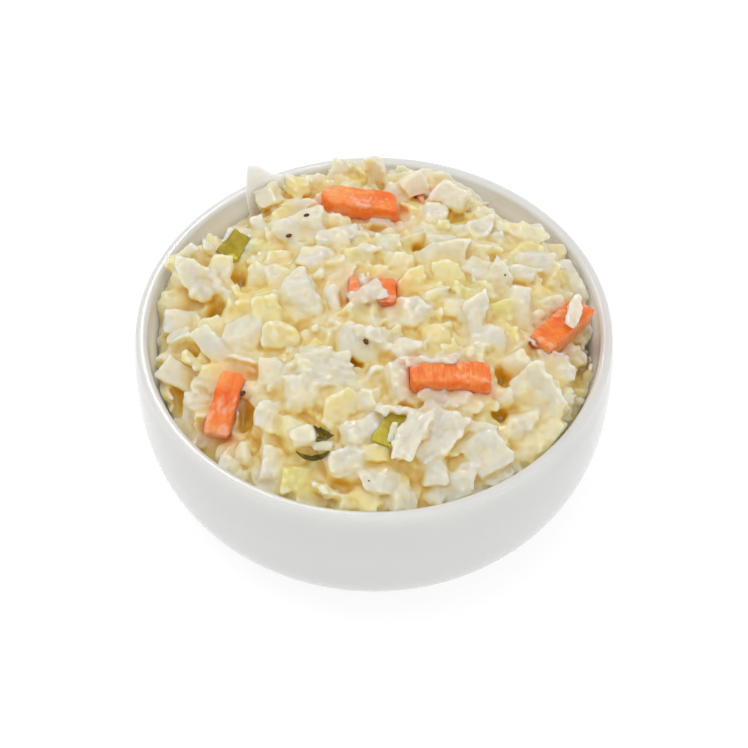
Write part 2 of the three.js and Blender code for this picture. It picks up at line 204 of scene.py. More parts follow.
def mesh_object(name, points, faces, attributes=None, material=None, normals=None):
    """An object at the origin from points in millimetres and lists of equal-sided faces."""
    mesh = bpy.data.meshes.new(name)
    corners = np.concatenate([block.ravel() for block in faces]).astype(np.int32)
    sides = np.concatenate([np.full(len(block), block.shape[1]) for block in faces]).astype(np.int32)
    starts = np.concatenate([[0], np.cumsum(sides)[:-1]]).astype(np.int32)
    mesh.vertices.add(len(points))
    mesh.vertices.foreach_set("co", (np.asarray(points) * MM).astype(np.float32).ravel())
    mesh.loops.add(len(corners))
    mesh.loops.foreach_set("vertex_index", corners)
    mesh.polygons.add(len(sides))
    mesh.polygons.foreach_set("loop_start", starts)
    mesh.polygons.foreach_set("use_smooth", np.ones(len(sides), bool))
    for key, values in (attributes or {}).items():
        values = np.asarray(values, np.float32)
        vector = values.ndim == 2
        layer = mesh.attributes.new(key, "FLOAT_VECTOR" if vector else "FLOAT", "POINT")
        layer.data.foreach_set("vector" if vector else "value", values.ravel())
    mesh.update(calc_edges=True)
    if normals is not None:
        mesh.normals_split_custom_set_from_vertices(normals.astype(np.float32))
    if material:
        mesh.materials.append(material)
    made = bpy.data.objects.new(name, mesh)
    bpy.context.scene.collection.objects.link(made)
    return made


def ride(piece, node):
    """Lets a piece ride on the part and the node that it stands for."""
    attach(piece, ROOT)
    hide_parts(node)


def ripple(points, wavelength, seed, count=9):
    """A smooth uneven field of about -1 to 1: a sum of sine waves that run in random directions."""
    rng = np.random.default_rng(seed)
    directions = rng.normal(size=(count, 3))
    directions /= np.linalg.norm(directions, axis=1, keepdims=True)
    frequency = 2 * np.pi / wavelength * rng.uniform(0.65, 1.5, count)
    phases = rng.uniform(0, 2 * np.pi, count)
    waves = np.sin(points @ (directions * frequency[:, None]).T + phases)
    return waves.sum(-1) / math.sqrt(count)


def smooth_step(value, low, high):
    """0 below low, 1 above high, and an S-shaped rise between them."""
    t = np.clip((value - low) / (high - low), 0, 1)
    return t * t * (3 - 2 * t)


# ---- turning ----


def turn_about(axis, degrees):
    """Rotation matrices about X, Y or Z (0, 1 or 2) by an array of angles."""
    angle = np.radians(np.atleast_1d(np.asarray(degrees, float)))
    first, second = (axis + 1) % 3, (axis + 2) % 3
    turned_by = np.zeros((len(angle), 3, 3))
    turned_by[:, axis, axis] = 1
    turned_by[:, first, first] = turned_by[:, second, second] = np.cos(angle)
    turned_by[:, second, first] = np.sin(angle)
    turned_by[:, first, second] = -np.sin(angle)
    return turned_by


def topping_turn(turn, pitch, roll):
    """A topping's rotation: roll about its length, then its far end pitched up, then a turn."""
    return (turn_about(2, turn) @ turn_about(1, -pitch) @ turn_about(0, roll))[0]


def leaning(turn, lean, side):
    """Rotations of pieces that lie turned, then lean to the front, then to the right."""
    return turn_about(1, side) @ turn_about(0, lean) @ turn_about(2, turn)


# ---- grids ----


def box_grid(columns, rows, layers):
    """Points on the surface of a cube from -1 to 1, split into even squares, and its outward faces."""
    counts = (columns, rows, layers)
    points, quads, total = [], [], 0
    for axis in range(3):
        first, second = (axis + 1) % 3, (axis + 2) % 3
        u, v = (np.linspace(-1, 1, counts[k] + 1) for k in (first, second))
        grid_u, grid_v = np.meshgrid(u, v, indexing="ij")
        i, j = np.meshgrid(np.arange(len(u) - 1), np.arange(len(v) - 1), indexing="ij")
        corner = (i * len(v) + j).ravel()
        square = np.stack([corner, corner + len(v), corner + len(v) + 1, corner + 1], -1)
        for side in (-1, 1):
            block = np.empty((grid_u.size, 3))
            block[:, axis], block[:, first], block[:, second] = side, grid_u.ravel(), grid_v.ravel()
            points.append(block)
            quads.append((square if side > 0 else square[:, ::-1]) + total)
            total += len(block)
    points, quads = np.concatenate(points), np.concatenate(quads)
    _, kept, same = np.unique(np.round(points, 6), axis=0, return_index=True, return_inverse=True)
    return points[kept], same.ravel()[quads]


def repeated(faces, copies, stride):
    """The same faces for each of many copies whose points follow one another."""
    shift = (np.arange(copies) * stride)[:, None, None]
    return (faces[None] + shift).reshape(-1, faces.shape[1])


def tube_faces(rows, segments):
    """Faces that join rings of points, first ring to last, and fans from a point at each end."""
    row, column = np.meshgrid(np.arange(rows - 1), np.arange(segments), indexing="ij")
    after = (column + 1) % segments
    low, high = row * segments, (row + 1) * segments
    quads = np.stack([low + column, low + after, high + after, high + column], -1).reshape(-1, 4)
    ring = np.arange(segments)
    following = (ring + 1) % segments
    last = (rows - 1) * segments
    first_pole, last_pole = rows * segments, rows * segments + 1
    caps = np.concatenate(
        [
            np.stack([np.full(segments, first_pole), following, ring], -1),
            np.stack([np.full(segments, last_pole), last + ring, last + following], -1),
        ]
    )
    return quads, caps


# ---- the bowl's curves and the heap's height ----


def belly_curve(inner_radius, base_height, outer_radius, steps):
    """Radius and height from a base edge out to the widest point, along a superellipse."""
    sweep = np.linspace(0, np.pi / 2, steps + 1)
    height = base_height + (BELLY_HEIGHT - base_height) * (1 - np.cos(sweep))
    left = np.clip((BELLY_HEIGHT - height) / (BELLY_HEIGHT - base_height), 0, 1)
    bulge = np.clip(1 - left**BELLY_ROUNDNESS, 0, 1) ** (1 / BELLY_ROUNDNESS)
    return np.stack([inner_radius + (outer_radius - inner_radius) * bulge, height], -1)


def upper_curve(belly_radius, lip_radius, steps):
    """Radius and height from the widest point up to the lip: a parabola that draws in."""
    s = np.linspace(0, 1, steps + 1)[1:]
    top = RIM_HEIGHT - LIP_CORNER
    radius = belly_radius + (lip_radius - belly_radius) * s * s
    return np.stack([radius, BELLY_HEIGHT + (top - BELLY_HEIGHT) * s], -1)


def corner_curve(radius_at, height_at, corner, start, turn, steps):
    """An arc of a circle: start and turn are angles from the outward direction."""
    angle = start + turn * np.linspace(0, 1, steps + 1)
    return np.stack([radius_at + corner * np.cos(angle), height_at + corner * np.sin(angle)], -1)


def inner_wall(steps=40):
    """The inner wall from the floor's edge to the lip: the belly's curve, less the wall.

    Between the lip and the floor the wall is thicker by a smooth step that fades out downwards, so
    that below the lip the inner face looks slightly upwards.
    """
    side = belly_curve(FLOOR_RADIUS, FLOOR_HEIGHT, BELLY_RADIUS - WALL, steps)
    curve = np.concatenate([side, upper_curve(BELLY_RADIUS - WALL, RIM_RADIUS - WALL, 8)])
    height = curve[:, 1]
    thicker = smooth_step(RIM_HEIGHT - height, 0.0, 9.0) * smooth_step(height, 8.0, 24.0)
    curve[:, 0] -= WALL_THICKENING * thicker
    return curve[curve[:, 1] < RIM_HEIGHT - LIP_INSIDE + 0.01]


def wall_radius(height):
    """The inner wall's radius at a height, and the lip's above it."""
    wall = inner_wall()
    return np.interp(height, wall[:, 1], wall[:, 0])


def heap_height(x, y, hollows=HOLLOWS, mounds=MOUNDS):
    """The height of the piece tops: a dome that falls off to the wall, with hollows and mounds.

    The dome falls by powers of the share of the radius; a hollow is a Gaussian of the bearing and a
    mound one of the distance in plan.
    """
    radius = np.hypot(x, y)
    bearing = np.degrees(np.arctan2(y, x))
    t = radius / HEAP_RADIUS
    left = np.cos(np.radians(bearing - 180))
    back = np.maximum(0, np.cos(np.radians(bearing - BACK_BEARING)))
    edge_drop = EDGE_DROP + EDGE_DROP_LEFT * left - EDGE_RISE_BACK * back**2
    hollow = sum(
        depth * np.exp(-(((np.abs((bearing - at + 540) % 360 - 180)) / spread) ** 2))
        for at, depth, spread in hollows
    )
    mound = sum(
        height * np.exp(-((x - at_x) ** 2 + (y - at_y) ** 2) / spread**2)
        for at_x, at_y, height, spread in mounds
    )
    standing_back = hollow * smooth_step(radius, HOLLOW_START, HOLLOW_END)
    dome = CROWN * (1 - t**DOME_POWER) - edge_drop * t**EDGE_POWER
    return RIM_HEIGHT + dome - standing_back + mound


def core_height(x, y):
    """The smooth core's top: the heap less a depth, which is less along the wall, more in a pit.

    A pit is a Gaussian in plan.
    """
    along_wall = smooth_step(np.hypot(x, y), CORE_RISE_START, CORE_RISE_END)
    pit = sum(
        np.exp(-(((x - at_x) / across) ** 2 + ((y - at_y) / along) ** 2) / PIT_SPREAD**2)
        for at_x, at_y, across, along in PITS
    )
    return heap_height(x, y) - CORE_DEPTH + CORE_RISE * along_wall - PIT_DEPTH * np.minimum(pit, 1)


def inside_wall(points, margin=0.12):
    """Presses points that would pass the inner wall or the floor back against it."""
    radius = np.hypot(points[..., 0], points[..., 1])
    limit = wall_radius(np.clip(points[..., 2], FLOOR_HEIGHT, RIM_HEIGHT)) - margin
    over = (radius > limit) & (points[..., 2] < RIM_HEIGHT + 0.4)
    share = np.where(over, limit / np.maximum(radius, 1e-6), 1)
    pressed = points.copy()
    pressed[..., 0] *= share
    pressed[..., 1] *= share
    pressed[..., 2] = np.maximum(pressed[..., 2], FLOOR_HEIGHT + margin)
    return pressed


# ---- the view ----


def view_axes():
    """The camera's place and the direction in which it looks, in millimetres."""
    back, up = VIEW_DISTANCE * math.cos(VIEW_ELEVATION), VIEW_DISTANCE * math.sin(VIEW_ELEVATION)
    place = np.array([0.0, -back, RIM_HEIGHT + up])
    forward = np.array([0.0, 0.0, AIM_HEIGHT]) - place
    return place, forward / np.linalg.norm(forward)


# ---- knife cuts ----


def cut_surface(counts, normals, offsets, sharpness):
    """A solid cut by flat strokes: the points of its surface, and the faces between them.

    Each stroke is a plane, normal . point = offset. The distance to the nearest plane is softened
    where planes meet: one over the power mean of the slopes towards them.
    """
    grid, quads = box_grid(*counts)
    directions = grid / np.linalg.norm(grid, axis=1, keepdims=True)
    slopes = np.maximum(directions @ normals.T / offsets, 0)
    reach = (slopes**sharpness).sum(-1) ** (-1 / sharpness)
    return directions * reach[:, None], quads


class Kind(NamedTuple):
    """One way of cutting cabbage: how many strokes cut it, and how bent and ragged it is.

    Its layers or veins are ridges: the axis across which they run, their spacing and height.
    """

    strokes: int
    slant: float
    rounding: float
    bend: float
    ragged: float
    blend: float
    ridges: tuple


KINDS = {
    "chunk": Kind(
        strokes=5, slant=0.22, rounding=0.0, bend=0.25, ragged=0.14, blend=0.35, ridges=(2, 1.5, 0.15)
    ),
    "round": Kind(
        strokes=2, slant=0.10, rounding=1.6, bend=0.30, ragged=0.10, blend=0.45, ridges=(2, 1.6, 0.08)
    ),
    "curd": Kind(
        strokes=6, slant=0.24, rounding=0.6, bend=0.4, ragged=0.22, blend=0.4, ridges=(2, 1.2, 0.16)
    ),
    "slab": Kind(
        strokes=2, slant=0.09, rounding=0.0, bend=0.12, ragged=0.08, blend=0.25, ridges=(1, 1.8, 0.06)
    ),
    "leaf": Kind(
        strokes=6, slant=0.22, rounding=0.0, bend=0.35, ragged=0.18, blend=0.25, ridges=(1, 1.7, 0.13)
    ),
    "shred": Kind(
        strokes=3, slant=0.14, rounding=0.0, bend=0.4, ragged=0.16, blend=0.25, ridges=(1, 1.2, 0.10)
    ),
    "crumb": Kind(
        strokes=3, slant=0.25, rounding=0.3, bend=0.2, ragged=0.14, blend=0.3, ridges=(0, 1.2, 0.06)
    ),
}


class Batch:
    """Pieces of one kind: their cuts, sizes, rotations, places and colours, as whole arrays."""

    def __init__(self, kind, rng, sizes, rotations, tones, greens):
        self.kind = KINDS[kind]
        self.name = kind
        self.sizes = np.asarray(sizes, float)
        self.rotations = np.asarray(rotations)
        self.tones = np.asarray(tones, float)
        self.greens = np.asarray(greens, float)
        count = len(self.sizes)
        sides = np.repeat(np.concatenate([np.eye(3), -np.eye(3)])[None], count, 0)
        sides = sides + rng.normal(scale=self.kind.slant, size=sides.shape)
        strokes = rng.normal(size=(count, self.kind.strokes, 3))
        if kind in ("leaf", "shred"):
            strokes[..., 2] *= 0.25
        normals = np.concatenate([sides, strokes], 1)
        self.normals = normals / np.linalg.norm(normals, axis=2, keepdims=True)
        depths = rng.uniform(0.88, 1.0, (count, 6))
        corners = rng.uniform(0.92, 1.2, (count, self.kind.strokes))
        self.offsets = np.concatenate([depths, corners], 1)
        self.centres = np.full((count, 3), np.nan)
        self.drapes = np.zeros((count, 5))

    def planes(self, i):
        """One piece's planes at its real size, turned as it lies."""
        return (self.normals[i] / (self.sizes[i] / 2)) @ self.rotations[i].T, self.offsets[i]

    def reach(self, i):
        """How far a piece may extend from its centre."""
        return 0.6 * float(np.linalg.norm(self.sizes[i]))


# ---- the pile ----


class Pile:
    """The heap as a map of heights, on which pieces come to rest one after another."""

    CELL = 0.4
    HALF = 54.0
    ENVELOPE_SWELL = 0.7
    TIGHTEST = 0.06  # the share of a piece's cells that may touch what lies above
    DEEPEST = 3.5
    FEWEST_CELLS = 4

    def __init__(self):
        axis = np.arange(-self.HALF, self.HALF + self.CELL / 2, self.CELL)
        self.x, self.y = np.meshgrid(axis, axis, indexing="ij")
        radius = np.hypot(self.x, self.y)
        self.inside = radius < RIM_RADIUS - WALL
        place = np.stack([self.x, self.y, 0 * self.x], -1)
        self.envelope = heap_height(self.x, self.y) + self.ENVELOPE_SWELL * ripple(place, 11.0, 77)
        self.height = core_height(self.x, self.y)
        self.ceiling = np.full_like(self.height, np.inf)

    def footprint(self, planes, at, reach):
        """The cells near a place, a polyhedron's lowest and highest point there, and which it covers."""
        low = [max(0, int((c - reach + self.HALF) / self.CELL)) for c in at[:2]]
        high = [int((c + reach + self.HALF) / self.CELL) + 2 for c in at[:2]]
        cells = (slice(low[0], high[0]), slice(low[1], high[1]))
        normals, offsets = planes
        dx, dy = self.x[cells] - at[0], self.y[cells] - at[1]
        left = offsets - dx[..., None] * normals[:, 0] - dy[..., None] * normals[:, 1]
        up = normals[:, 2]
        level = left / np.where(np.abs(up) < 1e-6, 1e-6, up)
        top = np.where(up >= 0, level, np.inf).min(-1)
        bottom = np.where(up < 0, level, -np.inf).max(-1)
        return cells, bottom, top, (top > bottom) & self.inside[cells]

    def rest(self, shape, sink):
        """The centre height at which a piece rests, with a share of it pressed into what is below."""
        cells, bottom, top, solid = shape
        if solid.sum() < self.FEWEST_CELLS:
            return None
        centre = np.quantile((self.height[cells] - bottom)[solid], 1 - sink)
        room = np.quantile((self.ceiling[cells] - top)[solid], self.TIGHTEST)
        if room < centre - self.DEEPEST:
            return None
        return min(centre, room)

    def proud(self, shape, centre):
        """How far a resting piece's top stands above the heap's envelope on average."""
        cells, _, top, solid = shape
        return float((centre + top - self.envelope[cells])[solid].mean())

    def lay(self, shape, centre):
        """Adds a resting piece to the map."""
        cells, _, top, solid = shape
        higher = solid & (centre + top > self.height[cells])
        self.height[cells] = np.where(higher, centre + top, self.height[cells])

    def block(self, shape, centre, clearance):
        """Keeps what comes later below the underside of a piece."""
        cells, bottom, _, solid = shape
        under = centre + bottom - clearance
        self.ceiling[cells] = np.where(solid, np.minimum(self.ceiling[cells], under), self.ceiling[cells])

    def drape(self, shape, at, thickness):
        """The quadratic surface that best follows the heap under a piece, as height and five slopes."""
        cells, _, _, solid = shape
        dx, dy = self.x[cells][solid] - at[0], self.y[cells][solid] - at[1]
        terms = np.stack([np.ones_like(dx), dx, dy, dx * dx, dx * dy, dy * dy], -1)
        fitted, *_ = np.linalg.lstsq(terms, self.height[cells][solid], rcond=None)
        fitted[1:3] = np.clip(fitted[1:3], -1.0, 1.0)
        fitted[3:] = np.clip(fitted[3:] * 0.8, -0.05, 0.05)
        followed = terms @ fitted
        fitted[0] += np.quantile(self.height[cells][solid] - followed, 0.72) + thickness * 0.3
        room = self.ceiling[cells][solid] - followed - thickness * 0.5
        fitted[0] = min(fitted[0], fitted[0] + np.quantile(room, self.TIGHTEST))
        return fitted

    def lay_draped(self, shape, at, fitted, thickness):
        """Adds a draped piece to the map."""
        cells, _, _, solid = shape
        dx, dy = self.x[cells] - at[0], self.y[cells] - at[1]
        terms = np.stack([np.ones_like(dx), dx, dy, dx * dx, dx * dy, dy * dy], -1)
        top = terms @ fitted + thickness * 0.5
        higher = solid & (top > self.height[cells])
        self.height[cells] = np.where(higher, top, self.height[cells])

    def at(self, x, y, field=None):
        """The map's value at plan positions."""
        field = self.height if field is None else field
        i = np.clip(np.rint((x + self.HALF) / self.CELL).astype(int), 0, field.shape[0] - 1)
        j = np.clip(np.rint((y + self.HALF) / self.CELL).astype(int), 0, field.shape[1] - 1)
        return field[i, j]


pile = Pile()


def softened(field, sigma):
    """A field on a 3-D grid, blurred along each axis; sigma is in cells.

    A small blur is a weighted mean of three neighbours, a larger one is three box averages.
    """
    width = 2 * int(round((math.sqrt(4 * sigma * sigma + 1) - 1) / 2)) + 1
    half = width // 2
    for axis in range(3):
        if width == 1:
            padded = np.pad(field, [(1, 1) if k == axis else (0, 0) for k in range(3)], mode="edge")
            before = np.take(padded, np.arange(field.shape[axis]), axis=axis)
            after = np.take(padded, np.arange(2, field.shape[axis] + 2), axis=axis)
            share = sigma * sigma / 2
            field = ((1 - 2 * share) * field + share * (before + after)).astype(np.float32)
            continue
        for _ in range(3):
            ends = [(half + 1, half) if k == axis else (0, 0) for k in range(3)]
            sums = np.cumsum(np.pad(field, ends, mode="edge"), axis=axis, dtype=np.float64)
            upper = np.take(sums, np.arange(width, sums.shape[axis]), axis=axis)
            lower = np.take(sums, np.arange(0, sums.shape[axis] - width), axis=axis)
            field = ((upper - lower) / width).astype(np.float32)
    return field


def island_sizes(quads, count):
    """How many points hang together with each point: quads join the lowest numbers they share."""
    lowest = np.arange(count)
    settled = False
    while not settled:
        before = lowest.copy()
        least = lowest[quads].min(1)
        for corner in range(4):
            np.minimum.at(lowest, lowest[quads[:, corner]], least)
        lowest = lowest[lowest]
        settled = (before == lowest).all()
    return np.bincount(lowest, minlength=count)[lowest]


def thinned(points, quads, most):
    """The same surface as triangles, its flattest edges collapsed until few enough are left."""
    dense = mesh_object("dense_surface", points, [quads])
    modifier = dense.modifiers.new("thinning", "DECIMATE")
    modifier.ratio = most / (2 * len(quads))
    modifier.use_collapse_triangulate = True
    whole = bpy.context.evaluated_depsgraph_get()
    sparse = dense.evaluated_get(whole).to_mesh()
    sparse.calc_loop_triangles()
    places = np.empty(3 * len(sparse.vertices), np.float32)
    sparse.vertices.foreach_get("co", places)
    corners = np.empty(3 * len(sparse.loop_triangles), np.int32)
    sparse.loop_triangles.foreach_get("vertices", corners)
    mesh = dense.data
    bpy.data.objects.remove(dense)
    bpy.data.meshes.remove(mesh)
    return places.reshape(-1, 3).astype(float) / MM, corners.reshape(-1, 3).astype(np.int64)


class Mass:
    """The dressed heap as a field on an even grid: about the distance to its surface, and its own
    negative inside. Pieces are joined to it one by one, and its surface becomes one mesh.
    """

    STEP = 0.42
    HALF = 51.6
    LOW, HIGH = 27.0, 60.0
    REACH = 3.0
    STEEPNESS = 0.8  # a height above a sloping surface as a distance from it
    SMOOTHING = 0.45  # in cells
    DRESSING_WIDTH = 1.3
    DRESSING_DEPTH = 0.2
    FILLET = 0.5
    WALL_GAP = 0.15
    SKIRT = 1.2  # how far the mesh goes on below the core's top
    # how far the painted orange light round a carrot reaches
    STAIN_REACH = 1.3

    def __init__(self, rng):
        across = np.arange(-self.HALF, self.HALF, self.STEP)
        upwards = np.arange(self.LOW, self.HIGH, self.STEP)
        self.axes = (across, across, upwards)
        self.x, self.y, self.z = np.meshgrid(*self.axes, indexing="ij", sparse=True)
        core = core_height(self.x, self.y)
        self.field = np.clip(self.STEEPNESS * (self.z - core), -self.REACH, self.REACH).astype(np.float32)
        self.owner = np.zeros(self.field.shape, np.int16)
        self.stain = np.zeros(self.field.shape, np.float32)
        self.tones, self.greens = [0.5], [0.12]
        shape = self.field.shape
        self.warps = [self.noise(rng, shape, 6.0) for _ in range(3)]
        self.frays = [self.noise(rng, shape, 2.0) for _ in range(2)]
        self.lumps = 0.07 * self.frays[0] + 0.045 * self.noise(rng, shape, 1.2)

    def noise(self, rng, shape, wavelength):
        """Smooth random values of spread 1: the difference of two blurs of white noise."""
        cells = wavelength / self.STEP / 6
        white = rng.normal(size=shape).astype(np.float32)
        band = softened(white, max(cells, 0.8))
        band -= softened(band, 2.2 * cells)
        return band / band.std()

    def near(self, centre, reach):
        """The cells within reach of a place, and their offsets from it."""
        cells = []
        for k, axis in enumerate(self.axes):
            low = np.searchsorted(axis, centre[k] - reach)
            cells.append(slice(low, max(low, np.searchsorted(axis, centre[k] + reach))))
        cells = tuple(cells)
        return cells, [axis[cell] - c for axis, cell, c in zip(self.axes, cells, centre)]

    def distance(self, planes, centre, reach, drape=None, kind=None):
        """Distances to a polyhedron in the cells round it, bent and frayed by smooth random shifts.

        Where it is rounded, its planes' distances are joined by a smooth maximum: the log of the
        sum of their exponentials.
        """
        cells, (x, y, z) = self.near(centre, reach)
        if 0 in self.field[cells].shape:
            return cells, None
        x, y, z = x[:, None, None], y[None, :, None], z[None, None, :]
        if kind:
            along, across = (fray[cells] for fray in self.frays)
            x = x + kind.bend * self.warps[0][cells] + kind.ragged * along
            y = y + kind.bend * self.warps[1][cells] + kind.ragged * across
            z = z + 0.6 * kind.bend * self.warps[2][cells] + 0.3 * kind.ragged * (along - across)
        if drape is not None:
            a, b, c, d, e = drape
            z = z - (a * x + b * y + c * x * x + d * x * y + e * y * y)
        normals, offsets = planes
        length = np.linalg.norm(normals, axis=1)
        levels = [
            nx * x + ny * y + nz * z - offset
            for (nx, ny, nz), offset in zip(normals / length[:, None], offsets / length)
        ]
        rounding = kind.rounding if kind else 0
        if not rounding:
            return cells, np.maximum.reduce(levels).astype(np.float32)
        top = np.maximum.reduce(levels)
        total = sum(np.exp((level - top) * (2.5 / rounding)) for level in levels)
        return cells, (top + np.log(total) * rounding / 2.5).astype(np.float32)

    def fuse(self, batch, i):
        """Joins a piece to the mass with a fillet: a polynomial smooth minimum of the distances."""
        kind = batch.kind
        cells, out = self.distance(
            batch.planes(i), batch.centres[i], batch.reach(i) + 1.5, batch.drapes[i], kind
        )
        if out is None:
            return
        axis, spacing, height = kind.ridges
        run = batch.rotations[i][:, axis] * (2 * np.pi / spacing)
        x, y, z = self.near(batch.centres[i], batch.reach(i) + 1.5)[1]
        phase = run[0] * x[:, None, None] + run[1] * y[None, :, None] + run[2] * z[None, None, :]
        out = out + height * np.sin(phase + 1.2 * self.warps[1][cells]).astype(np.float32)
        field = self.field[cells]
        share = np.clip(0.5 + 0.5 * (field - out) / kind.blend, 0, 1)
        self.tones.append(batch.tones[i])
        self.greens.append(batch.greens[i])
        self.owner[cells][out < field] = len(self.tones) - 1
        self.field[cells] = field * (1 - share) + out * share - kind.blend * share * (1 - share)

    def fuse_all(self, batch):
        """Joins every piece of a batch that has found a place."""
        for i in np.flatnonzero(~np.isnan(batch.centres[:, 0])):
            self.fuse(batch, i)

    def hollow_out(self, x, y, across, along):
        """Sinks a pit: a cone with wavy sides, as wide as given at the heap's height."""
        reach = 1.6 * max(across, along) + 1
        cells, (dx, dy, _) = self.near((x, y, RIM_HEIGHT), reach)
        i, j = cells[:2]
        height = self.axes[2]
        near_x, near_y = self.axes[0][i][:, None], self.axes[1][j][None, :]
        below = heap_height(near_x, near_y)[..., None] - height
        bend = [warp[i, j] for warp in self.warps[:2]]
        spread = np.hypot(
            (dx[:, None, None] + 0.6 * bend[0]) / across, (dy[None, :, None] + 0.6 * bend[1]) / along
        ) / PIT_SPREAD
        narrow = 1.0 - 0.10 * np.maximum(below, 0)
        out = (spread - np.maximum(narrow, 0.1)) * min(across, along)
        core = core_height(near_x, near_y)[..., None]
        out = np.maximum(out, self.STEEPNESS * (core + 0.3 - height)).astype(np.float32)
        self.field[i, j] = np.maximum(self.field[i, j], -out)

    def carve(self, planes, centre, reach, clearance):
        """Keeps the mass off a topping and out of the space above it."""
        cells, out = self.distance(planes, centre, reach)
        floor = core_height(self.x[cells[0]], self.y[:, cells[1]])
        bare = np.minimum(clearance - out, self.STEEPNESS * (self.z[:, :, cells[2]] - floor + 0.6))
        self.field[cells] = np.maximum(self.field[cells], bare.astype(np.float32))

    def tinge(self, planes, centre, reach, share):
        """Paints the mass round a carrot orange, less with distance: painted bounced light."""
        cells, out = self.distance(planes, centre, reach)
        near = share * np.exp(-np.maximum(out, 0) / self.STAIN_REACH)
        self.stain[cells] = np.maximum(self.stain[cells], near.astype(np.float32))

    def fill_hidden(self):
        """Fills what no ray from above or from 45 degrees round about reaches, layer by layer."""
        clear = self.field > 0
        open_to = np.zeros_like(clear)
        for i, j in np.ndindex(3, 3):
            lit = np.ones(clear.shape[:2], bool)
            for k in range(clear.shape[2] - 1, -1, -1):
                lit = np.roll(lit, (i - 1, j - 1), (0, 1)) & clear[:, :, k]
                open_to[:, :, k] |= lit
        self.field = np.where(clear & ~open_to, -0.4, self.field).astype(np.float32)

    def dress(self):
        """Roughens the surface, fills narrow crevices with dressing and trims it at the wall."""
        self.fill_hidden()
        self.field = softened(self.field + self.lumps, self.SMOOTHING)
        filled = softened(self.field, self.DRESSING_WIDTH / self.STEP) + self.DRESSING_DEPTH
        share = np.clip(0.5 + 0.5 * (self.field - filled) / self.FILLET, 0, 1)
        self.field = self.field * (1 - share) + filled * share - self.FILLET * share * (1 - share)
        wall = wall_radius(np.clip(self.z, FLOOR_HEIGHT, RIM_HEIGHT)) + 4 * (self.z > RIM_HEIGHT + 0.6)
        wall = np.minimum(wall, self.HALF - 0.6)
        self.field = np.maximum(self.field, np.hypot(self.x, self.y) - wall + self.WALL_GAP)

    def survey(self):
        """Records how hollow or proud the surface is, over a short and a long range."""
        solid = np.clip(self.field, -2.0, 2.0)
        self.hollow = 0.55 * softened(solid, 1.6 / self.STEP) + 0.45 * softened(solid, 3.6 / self.STEP)

    def sample(self, grid, points):
        """Values of a field on the grid at points, weighted from the eight cells round each."""
        place = (points - [self.axes[0][0], self.axes[1][0], self.axes[2][0]]) / self.STEP
        place = np.clip(place, 0, np.array(grid.shape) - 1.001)
        low = place.astype(int)
        share = place - low
        total = 0
        for corner in np.ndindex(2, 2, 2):
            weight = np.prod(np.where(corner, share, 1 - share), axis=1)
            i, j, k = (low + corner).T
            total = total + weight * grid[i, j, k]
        return total

    def surface(self):
        """The surface as points and outward quads: one point in each cell that it passes through.

        Each point is the mean of the places where the surface crosses the cell's edges; each edge
        of the grid that the surface crosses gives a quad of the four cells round it.
        """
        inside = self.field < 0
        count = np.zeros(np.array(inside.shape) - 1, np.int8)
        for corner in np.ndindex(2, 2, 2):
            count += inside[tuple(slice(c, c + n) for c, n in zip(corner, count.shape))]
        mixed = (count > 0) & (count < 8)
        cells = np.argwhere(mixed)
        number = np.full(mixed.shape, -1)
        number[mixed] = np.arange(len(cells))
        total, crossings = np.zeros((len(cells), 3)), np.zeros(len(cells))
        quads = []
        for axis in range(3):
            step = np.eye(3, dtype=int)[axis]
            first, second = np.eye(3, dtype=int)[(axis + 1) % 3], np.eye(3, dtype=int)[(axis + 2) % 3]
            for a, b in np.ndindex(2, 2):
                start = cells + a * first + b * second
                low = self.field[tuple(start.T)]
                high = self.field[tuple((start + step).T)]
                crosses = (low < 0) != (high < 0)
                share = np.where(crosses, low / np.where(crosses, low - high, 1), 0)
                total += crosses[:, None] * (a * first + b * second + share[:, None] * step)
                crossings += crosses
            ahead = np.roll(inside, -1, axis)
            edges = inside != ahead
            edges[tuple(slice(-1, None) if k == axis else slice(None) for k in range(3))] = False
            edges = np.argwhere(edges)
            others = [(axis + 1) % 3, (axis + 2) % 3]
            limit = np.array(inside.shape) - 2
            edges = edges[(edges[:, others] > 0).all(1) & (edges[:, others] <= limit[others]).all(1)]
            ring = [edges - first - second, edges - second, edges, edges - first]
            square = np.stack([number[tuple(cell.T)] for cell in ring], -1)
            outward = inside[tuple(edges.T)]
            quads.append(np.where(outward[:, None], square, square[:, ::-1]))
        points = (cells + total / crossings[:, None]) * self.STEP
        points += [self.axes[0][0], self.axes[1][0], self.axes[2][0]]
        return points, np.concatenate(quads)

